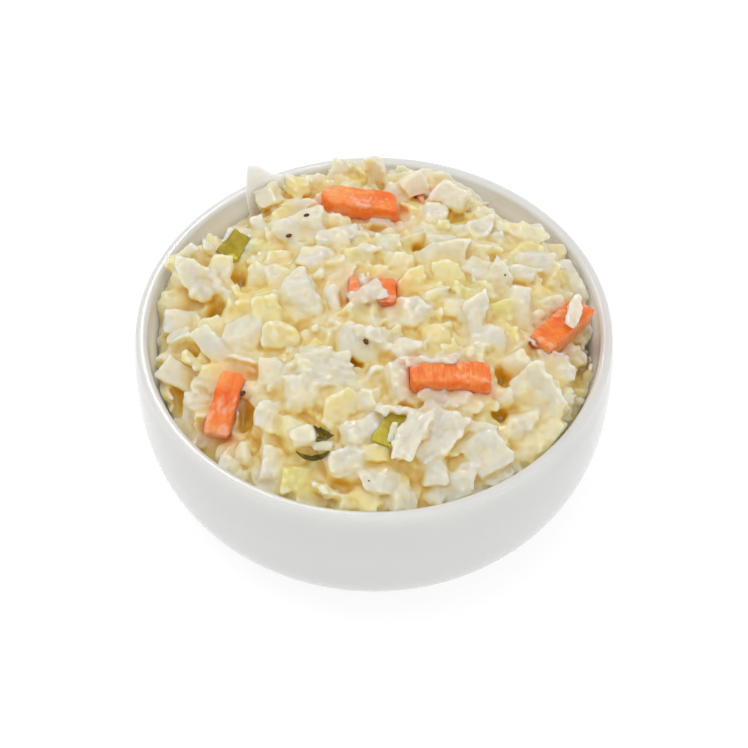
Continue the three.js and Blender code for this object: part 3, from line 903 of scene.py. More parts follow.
    def build(self, name, most, material):
        """The mass as one closed mesh: its surface, and a fan from its edge to the bowl's floor.

        The surface is thinned, set back on the field and given the field's own normals.
        """
        points, quads = self.surface()
        shown = points[:, 2] > core_height(points[:, 0], points[:, 1]) - self.SKIRT
        quads = quads[shown[quads].all(1)]
        quads = quads[island_sizes(quads, len(points))[quads[:, 0]] >= FEWEST_POINTS]
        kept, quads = np.unique(quads, return_inverse=True)
        points, corners = thinned(points[kept], quads.reshape(-1, 4), most)
        slope = self.slope(self.field, points)
        value = self.sample(self.field, points)
        step = slope * (value / np.maximum((slope**2).sum(1), 0.3))[:, None]
        points = inside_wall(points - np.clip(step, -0.3, 0.3))
        normals = self.slope(softened(self.field, 0.6), points)
        normals /= np.maximum(np.linalg.norm(normals, axis=1), 1e-6)[:, None]
        edges = np.stack([corners, np.roll(corners, -1, 1)], -1).reshape(-1, 2)
        pairs = np.sort(edges, 1)
        numbers = pairs[:, 0] * len(points) + pairs[:, 1]
        _, back, uses = np.unique(numbers, return_inverse=True, return_counts=True)
        rim = edges[uses[back.ravel()] == 1]
        fan = np.stack([rim[:, 1], rim[:, 0], np.full(len(rim), len(points))], -1)
        bent = softened(np.clip(self.field, -2.0, 2.0), 0.55 / self.STEP)
        tones = softened(np.array(self.tones, np.float32)[self.owner], 0.9)
        greens = softened(np.array(self.greens, np.float32)[self.owner], 0.9)
        points = np.concatenate([points, [[0, 0, FLOOR_HEIGHT + 0.5]]])
        normals = np.concatenate([normals, [[0, 0, -1]]])
        attributes = {
            "tone": np.clip(self.sample(tones, points) + 0.12 * ripple(points, 6.0, 8), 0, 1),
            "green": np.clip(self.sample(greens, points), 0, 1),
            # Painted shade: depth is greater in the hollows and on faces that turn sideways or down; the
            # material paints it yellow to amber.
            "depth": np.clip(depth_of(points) + 0.45 * (1 - normals[:, 2]) - 0.10, 0, 1),
            # painted light: orange bounced from the carrots
            "stain": self.sample(self.stain, points),
            # painted light and shade: the surface's bulge, painted whiter on ridges and darker amber in
            # creases
            "edge": np.clip(0.5 + 1.6 * self.sample(bent, points), 0, 1),
            # painted shade: points well below the heap's top are painted dark amber
            "pit": smooth_step(heap_height(points[:, 0], points[:, 1]) - points[:, 2], 3.2, 7.5),
            "grain": points * MM,
        }
        return mesh_object(name, points, [corners, fan], attributes, material, normals)

    def slope(self, grid, points):
        """A field's gradient at points, from differences over one cell."""
        steps = np.eye(3) * self.STEP / 2
        return np.stack(
            [self.sample(grid, points + d) - self.sample(grid, points - d) for d in steps], -1
        ) / self.STEP


mass = Mass(np.random.default_rng(2))


def depth_of(points):
    """How deep points lie in the hollows of the heap: 0 on what stands proud, 1 in a crevice."""
    return smooth_step(-mass.sample(mass.hollow, points), -0.35, 0.65)


# The pieces that give the heap its face: kind, plan position, length, width and thickness, turn,
# lean to the front, lean to the right, lift of the centre above the heap, yellowness, greenness.
LANDMARKS = (
    # the back left
    ("chunk", (-25.5, 41), (6.8, 4.8, 4.5), -10, 20, 0, -1.1, 0.65, 0.1),
    ("round", (-19, 44), (6, 5, 4.5), 70, 15, 0, -1.1, 0.45, 0.05),
    ("chunk", (-15.5, 41.5), (4, 3.8, 4), 0, 20, 0, -1.3, 0.9, 0.25),
    ("chunk", (-16.5, 33.5), (7.6, 4.2, 5), -5, 25, 0, -1.7, 0.1, 0),
    ("round", (-17, 24), (11.8, 8, 4.5), 15, 22, 0, -0.9, 0.1, 0),
    ("slab", (-26.5, 27), (6.4, 3.4, 2.5), -70, 30, 0, -0.1, 0.05, 0),
    ("chunk", (-21.5, 16), (6.4, 5.6, 5), 0, 25, 0, -3.1, 0.6, 0.05),
    ("curd", (-38.5, 10), (10, 7.4, 6), -15, 25, 0, -1.5, 0.1, 0.05),
    ("leaf", (-31, 19), (10.6, 10, 1.6), 50, 15, 0, -2.4, 0.6, 0.45),
    ("curd", (-41, 18.5), (10.6, 6.4, 3.5), 20, 15, 0, 0.6, 0.45, 0.2),
    ("slab", (-42, 18.5), (3.8, 3, 1.6), 20, 50, -20, 5.7, 0, 0),
    ("chunk", (-38, 19), (2.8, 2.6, 3), 0, 20, 0, 1.8, 0.1, 0),
    ("chunk", (-44.5, 10.5), (9.6, 5.2, 4.5), -10, 25, 0, -1.8, 0.5, 0.15),
    ("slab", (-44, 3.5), (8.6, 6.8, 6), -10, 30, 0, -1.6, 0.05, 0),
    ("chunk", (-26.5, 10.5), (5.8, 6.6, 5), 0, 25, 0, -2, 0.4, 0.1),
    ("chunk", (-22.5, 10), (5.6, 5.6, 5), 40, 25, 0, -1.9, 0.3, 0.05),
    ("chunk", (-25, 4), (3.8, 2.6, 3), 25, 30, 0, -1.3, 0.6, 0.6),
    ("leaf", (-24, -4), (11.4, 6.8, 2), -75, 35, 0, 0, 0.7, 0.4),
    ("curd", (-16, 0.5), (12.6, 8.6, 5), -60, 25, 0, -1.1, 0.05, 0),
    ("chunk", (-14, 14.5), (7.8, 6.2, 5), -10, 20, 0, -1.5, 0.1, 0),
    ("round", (-13.5, 20), (5.4, 3.8, 4), 0, 25, 0, -1.6, 0.5, 0.05),
    # the back
    ("curd", (-7, 47), (7.2, 5, 6), 0, 30, 0, 0.4, 0.15, 0),
    ("chunk", (2.5, 44.5), (7.6, 4.6, 5), 0, 25, 0, -1.7, 0.4, 0.15),
    ("chunk", (-9, 26.5), (7.6, 4.2, 4), -10, 25, 0, -1.6, 0.5, 0),
    ("round", (5.5, 37), (8.6, 6.6, 5), -20, 25, 0, -1.3, 0.1, 0),
    ("round", (14, 45.5), (8.6, 4.6, 3.5), -10, 30, 0, 0.7, 0.3, 0),
    ("slab", (11.5, 39.5), (4.6, 2.8, 2.5), -25, 30, 0, 0.3, 0.3, 0),
    ("chunk", (20, 41), (12, 7, 5), -35, 20, 0, -1.3, 0.2, 0),
    ("leaf", (26, 30.5), (6.6, 3.6, 1.8), -30, 10, 0, 0.4, 0.3, 0),
    ("chunk", (14, 29), (6.8, 6.6, 5), 0, 25, 0, -1.5, 0.1, 0),
    ("chunk", (16, 24.5), (4, 3.2, 3), 0, 25, 0, 0, 0.7, 0.45),
    ("shred", (21.5, 24.5), (11, 3.8, 3.2), 15, 20, 0, -0.2, 0.1, 0),
    ("shred", (33.5, 24.5), (14, 4, 2.4), -10, 15, 0, 0.1, 0.2, 0.1),
    # the middle
    ("curd", (-7.5, 20.5), (11, 6.2, 5), 20, 20, 0, -1.3, 0.08, 0),
    ("chunk", (-4.5, 15), (4.6, 3.2, 3), 0, 25, 0, -0.8, 0.6, 0.4),
    ("shred", (-1, 16.5), (5.8, 2.2, 1.8), -15, 25, 0, 0.2, 0.15, 0),
    ("chunk", (-9.5, 2), (3.6, 4.8, 5), 0, 20, 0, -1.3, 0.05, 0),
    ("chunk", (6, 13), (7.6, 4.2, 4.5), 0, 25, 0, -1.7, 0.4, 0),
    ("chunk", (9, 6.5), (7.2, 5.6, 5), 10, 25, 0, -1.4, 0.9, 0.15),
    ("chunk", (15.5, 15.5), (11.4, 6, 5), 10, 25, 0, -1.5, 0.15, 0),
    ("chunk", (24.5, 18), (9, 5.2, 4.5), -5, 25, 0, -1.5, 0.45, 0.05),
    ("chunk", (17.5, 9), (7.4, 5, 4), -70, 25, 0, -1.1, 0.75, 0.35),
    ("chunk", (24, 11.5), (7.4, 6, 5), -30, 25, 0, -1.5, 0.15, 0),
    ("leaf", (20.5, 4), (7.2, 3.2, 1.8), -25, 25, 0, -0.6, 0.7, 0.6),
    ("curd", (8.5, -2.5), (9, 8, 6), -20, 25, 0, -1.5, 0.1, 0),
    ("chunk", (18, -0.5), (5.8, 5.2, 4.5), 0, 25, 0, -1.5, 0.4, 0.05),
    ("round", (-3.5, -11), (10, 9.2, 5), -20, 20, 0, -1.1, 0.1, 0.05),
    ("curd", (1.5, -11.5), (6.8, 6.8, 5), 0, 20, 0, -1.3, 0.08, 0),
    ("chunk", (7.5, -13), (7.6, 5.8, 5), 0, 20, 0, -1.2, 0.05, 0),
    ("chunk", (13.5, -9), (6.8, 6.6, 5), 0, 25, 0, -1.8, 0.7, 0.1),
    # the right
    ("chunk", (35, 20), (7.2, 3.8, 4), 0, 25, 0, -1.5, 0.85, 0.3),
    ("chunk", (41.5, 24), (6.8, 4.8, 4), -25, 20, 0, 0.5, 0.4, 0),
    ("chunk", (37.5, 16), (8.6, 5.2, 5), 0, 25, 0, -1.1, 0.03, 0),
    ("curd", (45.5, 15.5), (10.8, 6, 5), -65, 25, 0, 0, 0.1, 0),
    ("chunk", (28.5, 8.5), (6.6, 5, 4.5), 70, 25, 0, -1, 0.08, 0),
    ("chunk", (33.5, 11.5), (5.4, 5.2, 4.5), 0, 25, 0, -1.1, 0.05, 0),
    ("round", (33, 1.5), (11, 5.8, 5.5), -85, 30, 0, -1.1, 0.15, 0),
    ("chunk", (22.5, -3), (10.8, 5, 4.5), 65, 25, 0, -0.9, 0.05, 0),
    ("chunk", (27.5, 0), (5, 4.6, 3), 0, 25, 0, -2.2, 0.8, 0.6),
    ("chunk", (39.5, 5), (6.8, 4.2, 4), 20, 25, 0, -1.4, 0.2, 0),
    ("round", (26, -8), (7.8, 6.2, 5), -15, 20, 0, -1.3, 0.05, 0),
    ("round", (31.5, -14), (6, 7.2, 5), -70, 30, 0, -1.2, 0.35, 0),
    ("leaf", (40, -13), (11.4, 6.6, 1.6), -20, 25, 0, 0.1, 0.3, 0.05),
    ("leaf", (44.5, -6), (7.8, 4.6, 1.6), -30, 25, 10, 0.1, 0.3, 0.1),
    ("chunk", (36.5, -22), (14.6, 9.2, 4.6), -45, 30, 0, 0.0, 0.03, 0.12),
    ("chunk", (34.5, -26.5), (5.6, 4.2, 3), -45, 25, 0, -1.2, 0.7, 0.6),
    ("chunk", (31.5, -29), (6.4, 6.2, 4), 0, 25, 0, -1.3, 0.15, 0),
    ("chunk", (21, -13.5), (3.2, 3.2, 4), 0, 25, 0, -1, 0.5, 0.1),
    # the left
    ("slab", (-36, -8.5), (10, 5, 3), -60, 30, -20, -0.1, 0.05, 0),
    ("chunk", (-29.5, -7.5), (8.6, 8.6, 6), 0, 20, 0, -1.7, 0.15, 0.05),
    ("chunk", (-21, -9), (8.2, 6.4, 3.5), 10, 30, 0, -0.8, 0.6, 0.2),
    ("leaf", (-10.5, -18.5), (15, 9.2, 2.4), -15, 20, 0, 0.1, 0.03, 0.15),
    ("curd", (-15, -24), (9.6, 9.8, 5), 0, 25, 0, -1.4, 0.2, 0.05),
    ("chunk", (-7, -27), (7.8, 7, 4.5), -20, 25, 0, -1.4, 0.7, 0.1),
    ("chunk", (-23, -17), (5, 7.6, 5), 0, 25, 0, -1.8, 0.3, 0.05),
    ("slab", (-43.5, -11.5), (9.6, 6, 4), -30, 25, 0, -1.2, 0.2, 0.05),
    ("chunk", (-45, -5.5), (7.6, 4.2, 4), 0, 25, 0, -1.5, 0.4, 0.05),
    ("leaf", (-39, -20), (5.8, 4.4, 1.8), 0, 20, 0, -0.2, 0.2, 0.05),
    ("chunk", (-40, -22.5), (6.6, 5, 3.5), 60, 25, 0, -1.3, 0.15, 0),
    ("round", (-27, -21), (5.4, 5.2, 3.5), 0, 25, 0, -1.4, 0.4, 0),
    ("chunk", (-23.5, -28), (7.4, 5.4, 5), 85, 30, 0, -1.2, 0.1, 0),
    # the front
    ("round", (-16, -33.5), (8.6, 8.4, 6), 0, 25, 0, -1.5, 0.6, 0.3),
    ("slab", (-9.5, -38.5), (4.2, 3.2, 2), 30, 25, 0, -0.2, 0.05, 0),
    ("round", (-28.5, -33.5), (6.2, 4.6, 5), 85, 25, 0, -2.2, 0.4, 0.05),
    ("round", (-32.5, -32), (5.6, 4.6, 5), 85, 25, 0, -2.3, 0.45, 0.1),
    ("chunk", (-15.5, -41.5), (9.6, 7, 5), 5, 25, 0, -1.8, 1, 0.5),
    ("chunk", (-22, -37.5), (7, 5.8, 5), 80, 25, 0, -1.7, 0.15, 0),
    ("curd", (-6, -40), (10, 8, 6), -10, 25, 0, -1.8, 0.05, 0),
    ("chunk", (2, -43), (7.2, 6.2, 5), 0, 25, 0, -1.5, 0.08, 0),
    ("chunk", (-4, -34), (7.6, 6.6, 5), 0, 25, 0, -1.6, 0.1, 0),
    ("chunk", (0.5, -38), (5.4, 3.2, 4), 0, 25, 0, -1.2, 0.75, 0.1),
    ("chunk", (-1, -26), (6.6, 5, 5), 90, 25, 0, -2, 0.3, 0),
    ("chunk", (5.5, -22.5), (10.6, 5.8, 5), -75, 30, 0, -1, 0.08, 0),
    ("chunk", (21.5, -25), (7.6, 4.6, 4.5), 5, 25, 0, -2, 0.6, 0.05),
    ("shred", (5, -30), (9, 2.4, 2.2), -5, 25, 0, 0.8, 0.15, 0),
    ("shred", (7.5, -34.5), (13.8, 3.6, 3), 60, 20, 0, 0, 0.1, 0),
    ("leaf", (12.5, -35), (15.2, 10.2, 3), 40, 25, 0, -0.1, 0.03, 0),
    ("slab", (24, -36), (10.6, 8.2, 5), -50, 25, 0, -1.1, 0.03, 0),
    ("leaf", (33.5, -33), (6.8, 4, 1.8), 0, 25, 0, -0.3, 0.4, 0.1),
    ("chunk", (13.5, -41), (5.8, 5.6, 5), 0, 25, 0, -1.6, 0.08, 0),
    ("chunk", (19, -42), (9.8, 5.4, 4.5), 70, 25, 0, -1.2, 0.1, 0),
    ("chunk", (5.5, -43.5), (4.6, 4.6, 4.5), 0, 25, 0, -1.5, 0.7, 0.1),
    ("round", (8.5, -45), (4, 4.4, 5), 0, 20, 0, -2.1, 0.3, 0),
    ("chunk", (14, -44.5), (6.6, 4.2, 3), 60, 25, 0, -1, 0.1, 0),
    ("shred", (23.5, -31.5), (6.4, 2.2, 1.6), 15, 25, 0, 0.3, 0.3, 0),
    ("chunk", (26, -25.5), (3.2, 2.4, 3), 0, 25, 0, -1.6, 0.8, 0.7),
)

# What fills the rest of the heap: kind, most pieces, size, spread, share that lies draped.
FILLING = (
    ("chunk", 230, (8.0, 6.4, 4.6), 0.3, 0.0),
    ("leaf", 130, (10.5, 8.0, 1.8), 0.3, 0.7),
    ("shred", 70, (11.0, 3.2, 2.1), 0.3, 0.8),
    ("curd", 50, (6.8, 5.4, 4.2), 0.3, 0.0),
    ("chunk", 170, (5.0, 4.0, 3.2), 0.3, 0.0),
    ("leaf", 80, (6.0, 4.8, 1.4), 0.3, 0.5),
    ("crumb", 420, (2.9, 2.3, 1.8), 0.35, 0.0),
)

# Pieces that lie across toppings: kind, centre, size, turn, lean, side, yellowness, greenness.
OVERLAID = (
    ("chunk", (-1.3, 1.2, 54.2), (8.4, 4.0, 1.7), 22, 14, 0, 0.0, 0.0),
    ("chunk", (0.4, 42.6, 49.8), (5.0, 10.2, 3.0), 4, 76, 0, 0.1, 0.0),
    ("chunk", (-24.0, 36.0, 47.6), (6.8, 5.4, 7.4), 10, 8, 0, 0.3, 0.0),
    ("chunk", (-17.9, 38.3, 48.0), (5.8, 4.8, 7.0), -14, -6, 0, 0.85, 0.1),
    ("leaf", (8.3, -36.2, 51.2), (15.0, 5.0, 2.2), 61, 10, 0, 0.05, 0.0),
    ("chunk", (-2.2, 5.3, 54.0), (3.0, 3.2, 1.8), 60, 10, 0, 0.05, 0.0),
    ("curd", (9.6, -18.1, 54.2), (7.2, 3.0, 2.4), 4, 10, 0, 0.02, 0.0),
    ("curd", (15.8, -18.0, 54.3), (5.4, 2.4, 2.2), -8, 10, 0, 0.02, 0.0),
    ("chunk", (12.5, -24.9, 50.2), (5.0, 2.6, 2.6), 8, 20, 0, 0.1, 0.0),
    ("chunk", (19.0, -25.2, 50.0), (6.0, 2.6, 2.6), -6, 20, 0, 0.3, 0.0),
    ("chunk", (44.8, -0.2, 50.8), (9.4, 2.7, 2.3), 78, 9, 0, 0.0, 0.0),
    ("round", (-15.5, -35.6, 49.4), (6.8, 5.6, 3.6), 20, 20, 0, 0.15, 0.05),
    ("leaf", (-10.9, -37.4, 48.4), (4.8, 2.4, 1.4), 18, 10, 0, 0.1, 0.3),
    ("slab", (4.2, -35.0, 50.6), (4.6, 1.7, 1.5), 80, 15, 0, 0.5, 0.15),
    ("slab", (9.2, 38.4, 50.6), (6.4, 5.4, 2.4), 35, 30, 10, 0.15, 0.0),
    ("chunk", (17.6, 34.0, 50.4), (9.5, 6.0, 3.6), -30, 25, 0, 0.1, 0.0),
    ("chunk", (-8.5, 28.4, 49.6), (5.0, 2.6, 2.4), -12, 20, 0, 0.2, 0.0),
    ("chunk", (1.5, 27.2, 49.7), (6.0, 2.8, 2.4), -8, 20, 0, 0.15, 0.0),
)


def overlaid_batches(rng):
    """The pieces that lie across toppings, one batch for each."""
    batches = []
    for kind, centre, size, turn, lean, side, tone, green in OVERLAID:
        batch = Batch(kind, rng, [size], leaning(turn, lean, side), [tone], [green])
        batch.centres[0] = centre
        batches.append(batch)
    return batches


def landmark_batches(rng):
    """The pieces of the table, by kind, each at its own place and lean."""
    batches = []
    for kind in dict.fromkeys(row[0] for row in LANDMARKS):
        rows = [row for row in LANDMARKS if row[0] == kind]
        places = np.array([row[1] for row in rows])
        sizes = np.array([row[2] for row in rows])
        turn, lean, side, lift, tone, green = np.array([row[3:] for row in rows]).T
        batch = Batch(kind, rng, sizes, leaning(turn, lean, side), tone, green)
        height = heap_height(places[:, 0], places[:, 1]) + lift
        batch.centres = np.concatenate([places, height[:, None]], 1)
        batches.append(batch)
    return batches


def fill_batches(rng, scale):
    """Lets every kind of piece come to rest where the heap is lowest, large pieces first."""
    batches = []
    for kind, count, size, spread, draped in FILLING:
        sizes = scale * np.array(size) * (1 + spread * rng.uniform(-1, 1, (count, 3)))
        sizes = sizes[np.argsort(-sizes.prod(1))]
        tilt = 55 if kind == "crumb" else 32
        lies = rng.uniform(0, 1, count) < draped
        tilts = rng.uniform(-1, 1, (2, count)) * np.where(lies, 0, tilt)
        rotations = leaning(rng.uniform(0, 360, count), tilts[0], tilts[1])
        tones = rng.beta(0.9, 1.7, count)
        greens = 0.5 * rng.beta(0.5, 2.2, count)
        batch = Batch(kind, rng, sizes, rotations, tones, greens)
        for i in range(count):
            settle(batch, i, lies[i], rng)
        batches.append(batch)
    return batches


def bed_batches(rng, spacing):
    """What shows between the pieces: more of them, half sunk in the core on a jittered grid."""
    axis = np.arange(-HEAP_RADIUS, HEAP_RADIUS, spacing)
    x, y = (place.ravel() for place in np.meshgrid(axis, axis))
    x, y = (place + rng.uniform(-0.45, 0.45, len(place)) * spacing for place in (x, y))
    inside = np.hypot(x, y) < HEAP_RADIUS - 1
    x, y = x[inside], y[inside]
    batches = []
    for share, kind, size in ((0, "chunk", (6.4, 4.8, 4.2)), (1, "leaf", (8.6, 6.4, 1.8))):
        own = np.arange(len(x)) % 3 // 2 == share
        count = own.sum()
        sizes = np.array(size) * rng.uniform(0.75, 1.3, (count, 3))
        rotations = leaning(rng.uniform(0, 360, count), *rng.uniform(-38, 38, (2, count)))
        batch = Batch(kind, rng, sizes, rotations, rng.uniform(0.1, 0.9, count), 0.25 * rng.random(count))
        height = core_height(x[own], y[own]) + rng.uniform(-0.4, 3.2, count)
        height = np.minimum(height, pile.at(x[own], y[own], pile.ceiling) - 2.0)
        batch.centres = np.stack([x[own], y[own], height], -1)
        batches.append(batch)
    return batches


def settle(batch, i, lies, rng):
    """Tries some places where the heap is lowest and lays a piece where it stands out least."""
    planes, reach = batch.planes(i), batch.reach(i)
    thickness = batch.sizes[i, 2]
    small = batch.name == "crumb"
    best = None
    for spot in low_spots(rng, 0.25 * batch.sizes[i, 0], 3 if small else 6):
        shape = pile.footprint(planes, spot, reach)
        if shape[3].sum() < pile.FEWEST_CELLS:
            continue
        if lies:
            fitted = pile.drape(shape, spot, thickness)
            centre = fitted[0]
            cells, _, _, solid = shape
            proud = float(centre + thickness / 2 - pile.envelope[cells][solid].mean())
        else:
            fitted = None
            centre = pile.rest(shape, SINK)
            if centre is None:
                continue
            proud = pile.proud(shape, centre)
        if best is None or proud < best[0]:
            best = (proud, shape, spot, centre, fitted)
    allowance = rng.normal(0.4, 0.7) + (0.8 if small else 0)
    if best is None or best[0] > allowance:
        return
    _, shape, spot, centre, fitted = best
    batch.centres[i] = (*spot, centre)
    if lies:
        batch.drapes[i] = fitted[1:]
        pile.lay_draped(shape, spot, fitted, thickness)
    else:
        pile.lay(shape, centre)


def low_spots(rng, inset, kept):
    """A few of many random places, where the heap is furthest below its envelope first."""
    radius = (HEAP_RADIUS + 0.8 - inset) * np.sqrt(rng.uniform(0, 1, TRIES))
    bearing = rng.uniform(0, 2 * np.pi, TRIES)
    x, y = radius * np.cos(bearing), radius * np.sin(bearing)
    lack = np.zeros(TRIES)
    room = np.minimum(pile.envelope, pile.ceiling) - pile.height
    for step_x, step_y in ((0, 0), (PROBE, 0), (-PROBE, 0), (0, PROBE), (0, -PROBE)):
        lack += pile.at(x + step_x, y + step_y, room)
    order = np.argsort(-lack)[:kept]
    return np.stack([x[order], y[order]], -1)


# ---- materials ----


def porcelain_material(colours):
    """Glazed porcelain, cast and fired: a clear hard glaze over a white body.

    To the eye it is a bright, faintly warm white with crisp soft-box highlights, and the glaze
    pools a little, so that reflections waver over 15 to 20 mm. The foot's edge is bare and dull.
    Its inner face is painted whiter, as painted light, and it is painted darker towards the
    bottom, as painted shade.
    """
    material, tree = new_material("glazed porcelain")
    place = add(tree, "ShaderNodeTexCoord").outputs["Object"]
    waver = add(tree, "ShaderNodeTexNoise", {"Vector": place, "Scale": grains(18.2), "Detail": 1.0})
    bump = add(
        tree, "ShaderNodeBump",
        {"Height": waver.outputs["Fac"], "Strength": 0.12, "Distance": 0.0004},
    )
    tint = add(tree, "ShaderNodeTexNoise", {"Vector": place, "Scale": grains(33.3), "Detail": 3.0})
    inside = add(tree, "ShaderNodeAttribute", attribute_name="inside").outputs["Fac"]
    height = add(tree, "ShaderNodeSeparateXYZ", {"Vector": place}).outputs["Z"]
    # Painted shade: the glaze is painted darker towards the bottom.
    lower = add(
        tree, "ShaderNodeMapRange",
        {"Value": height, "From Min": 0.028, "From Max": 0.004},
    )
    bare = add(
        tree, "ShaderNodeMapRange",
        {"Value": height, "From Min": 0.0002, "From Max": 0.0005, "To Min": 1.0, "To Max": 0.0},
    )
    body = (*colours.porcelain, 1.0)
    for share, shade in (
        (tint.outputs["Fac"], "#D6D6D4"),
        # painted light: the inner face is painted whiter
        (inside, "#FBFAF6"),
        # painted shade: darker towards the bottom
        (lower.outputs["Result"], "#C4C4C2"),
        (bare.outputs["Result"], "#DDD6C8"),
    ):
        mixed = add(
            tree, "ShaderNodeMix",
            {"Factor": share, "A": body, "B": linear(shade)},
            data_type="RGBA",
        )
        body = mixed.outputs["Result"]
    rough = add(
        tree, "ShaderNodeMapRange",
        {"Value": bare.outputs["Result"], "To Min": 0.1, "To Max": 0.75},
    )
    shader = add(
        tree, "ShaderNodeBsdfPrincipled",
        {
            "Base Color": body,
            "Roughness": rough.outputs["Result"],
            "IOR": 1.5,
            "Subsurface Weight": 0.8,
            "Subsurface Radius": (1.0, 0.97, 0.9),
            "Subsurface Scale": 0.007,
            "Normal": bump.outputs["Normal"],
        },
    )
    return finished(material, shader)


def rib_material():
    """The white rib of a cabbage leaf: glassy, watery cells that let light through.

    To the eye it is nearly clear at its edges, white inside, with 2 mm fibres along its length.
    """
    material, tree = new_material("glassy cabbage rib")
    grain = add(tree, "ShaderNodeAttribute", attribute_name="grain").outputs["Vector"]
    along = add(tree, "ShaderNodeMapping", {"Vector": grain, "Scale": (1.6, 0.4, 1.0)})
    fibres = add(
        tree, "ShaderNodeTexNoise",
        {"Vector": along.outputs["Vector"], "Scale": grains(2.0), "Detail": 3.0},
    )
    colour = add(
        tree, "ShaderNodeValToRGB",
        {"Fac": fibres.outputs["Fac"]},
        stops=[(0.0, linear("#EFEDDF")), (0.5, linear("#F6F6F0")), (1.0, linear("#FAFAF7"))],
    )
    bump = add(
        tree, "ShaderNodeBump",
        {"Height": fibres.outputs["Fac"], "Strength": 0.25, "Distance": 0.0004},
    )
    shader = add(
        tree, "ShaderNodeBsdfPrincipled",
        {
            "Base Color": colour.outputs["Color"],
            "Roughness": 0.3,
            "IOR": 1.36,
            "Subsurface Weight": 1.0,
            "Subsurface Radius": (1.0, 1.0, 1.0),
            "Subsurface Scale": 0.003,
            "Coat Weight": 0.6,
            "Coat Roughness": 0.1,
            "Normal": bump.outputs["Normal"],
        },
    )
    return finished(material, shader)


def cabbage_material(colours):
    """Raw cabbage, chopped and dressed: watery cells under a thin film of creamy dressing.

    To the eye it is milky and see-through, white on ribs and yellow-green on leaf, and wet on top.
    Painted shade makes it yellower on faces that turn sideways or down, and amber in hollows,
    creases and deep pits, where light reaches it only through cabbage; painted light makes it
    whiter along ridges and orange round the carrots. Its blotches are 4 mm across, its wrinkles
    2 mm and its fibres, coarser than real ones, 1 mm.
    """
    material, tree = new_material("dressed cabbage")
    grain = add(tree, "ShaderNodeAttribute", attribute_name="grain").outputs["Vector"]
    tone, green, depth, pit, stain, edge = (
        add(tree, "ShaderNodeAttribute", attribute_name=name).outputs["Fac"]
        for name in ("tone", "green", "depth", "pit", "stain", "edge")
    )
    blotch = add(tree, "ShaderNodeTexNoise", {"Vector": grain, "Scale": grains(3.85), "Detail": 3.0})
    uneven = add(
        tree, "ShaderNodeMath",
        {0: blotch.outputs["Fac"], 1: 0.5, 2: tone},
        operation="MULTIPLY_ADD",
    )
    warmth = add(
        tree, "ShaderNodeMapRange",
        {"Value": uneven.outputs[0], "From Min": 0.25, "From Max": 1.25},
    )
    flesh = add(
        tree, "ShaderNodeValToRGB",
        {"Fac": warmth.outputs["Result"]},
        stops=[
            (0.0, (*colours.rib, 1.0)),
            (0.35, linear("#E5DCBD")),
            (0.7, linear("#EAD9A4")),
            (1.0, (*colours.leaf, 1.0)),
        ],
    )
    colour = flesh.outputs["Color"]
    # Tints laid over one another: each shows by a range of its attribute, up to a share.
    for share, low, high, most, tint in (
        (green, 0.0, 1.0, 1.0, linear("#D6D386")),
        # painted shade: yellower in hollows and on faces that turn sideways or down
        (depth, 0.0, 0.6, 0.8, linear("#EDD46C")),
        # painted shade: amber deep in the hollows
        (depth, 0.4, 1.0, 1.0, (*colours.crevice, 1.0)),
        # painted shade: dark amber in the deep pits
        (pit, 0.0, 1.0, 1.0, linear("#BA921C")),
        # painted light: orange bounced from the carrots
        (stain, 0.0, 1.0, 1.0, linear("#F5A468")),
        # painted highlight: whiter along the ridges
        (edge, 0.68, 1.0, 0.6, linear("#F0EDE2")),
        # painted shade: darker amber in the creases
        (edge, 0.42, 0.05, 0.2, linear("#CFA03A")),
    ):
        shown = add(
            tree, "ShaderNodeMapRange",
            {"Value": share, "From Min": low, "From Max": high, "To Max": most},
        )
        tinted = add(
            tree, "ShaderNodeMix",
            {"Factor": shown.outputs["Result"], "A": colour, "B": tint},
            data_type="RGBA",
        )
        colour = tinted.outputs["Result"]
    stretched = add(
        tree, "ShaderNodeMapping",
        {"Vector": grain, "Scale": (0.35, 1.6, 1.0)},
    )
    fibres = add(
        tree, "ShaderNodeTexNoise",
        {"Vector": stretched.outputs["Vector"], "Scale": grains(1.11), "Detail": 2.0},
    )
    wrinkles = add(
        tree, "ShaderNodeTexNoise",
        {"Vector": grain, "Scale": grains(1.923), "Detail": 3.0},
    )
    relief = add(
        tree, "ShaderNodeMath",
        {0: fibres.outputs["Fac"], 1: 0.6, 2: wrinkles.outputs["Fac"]},
        operation="MULTIPLY_ADD",
    )
    bump = add(
        tree, "ShaderNodeBump",
        {"Height": relief.outputs[0], "Strength": 0.17, "Distance": 0.0005},
    )
    shader = add(
        tree, "ShaderNodeBsdfPrincipled",
        {
            "Base Color": colour,
            "Roughness": 0.36,
            "IOR": 1.38,
            "Subsurface Weight": 1.0,
            "Subsurface Radius": (1.0, 0.86, 0.45),
            "Subsurface Scale": 0.0042,
            "Coat Weight": 1.0,
            "Coat Roughness": 0.1,
            "Coat IOR": 1.5,
            "Normal": bump.outputs["Normal"],
        },
    )
    return finished(material, shader)


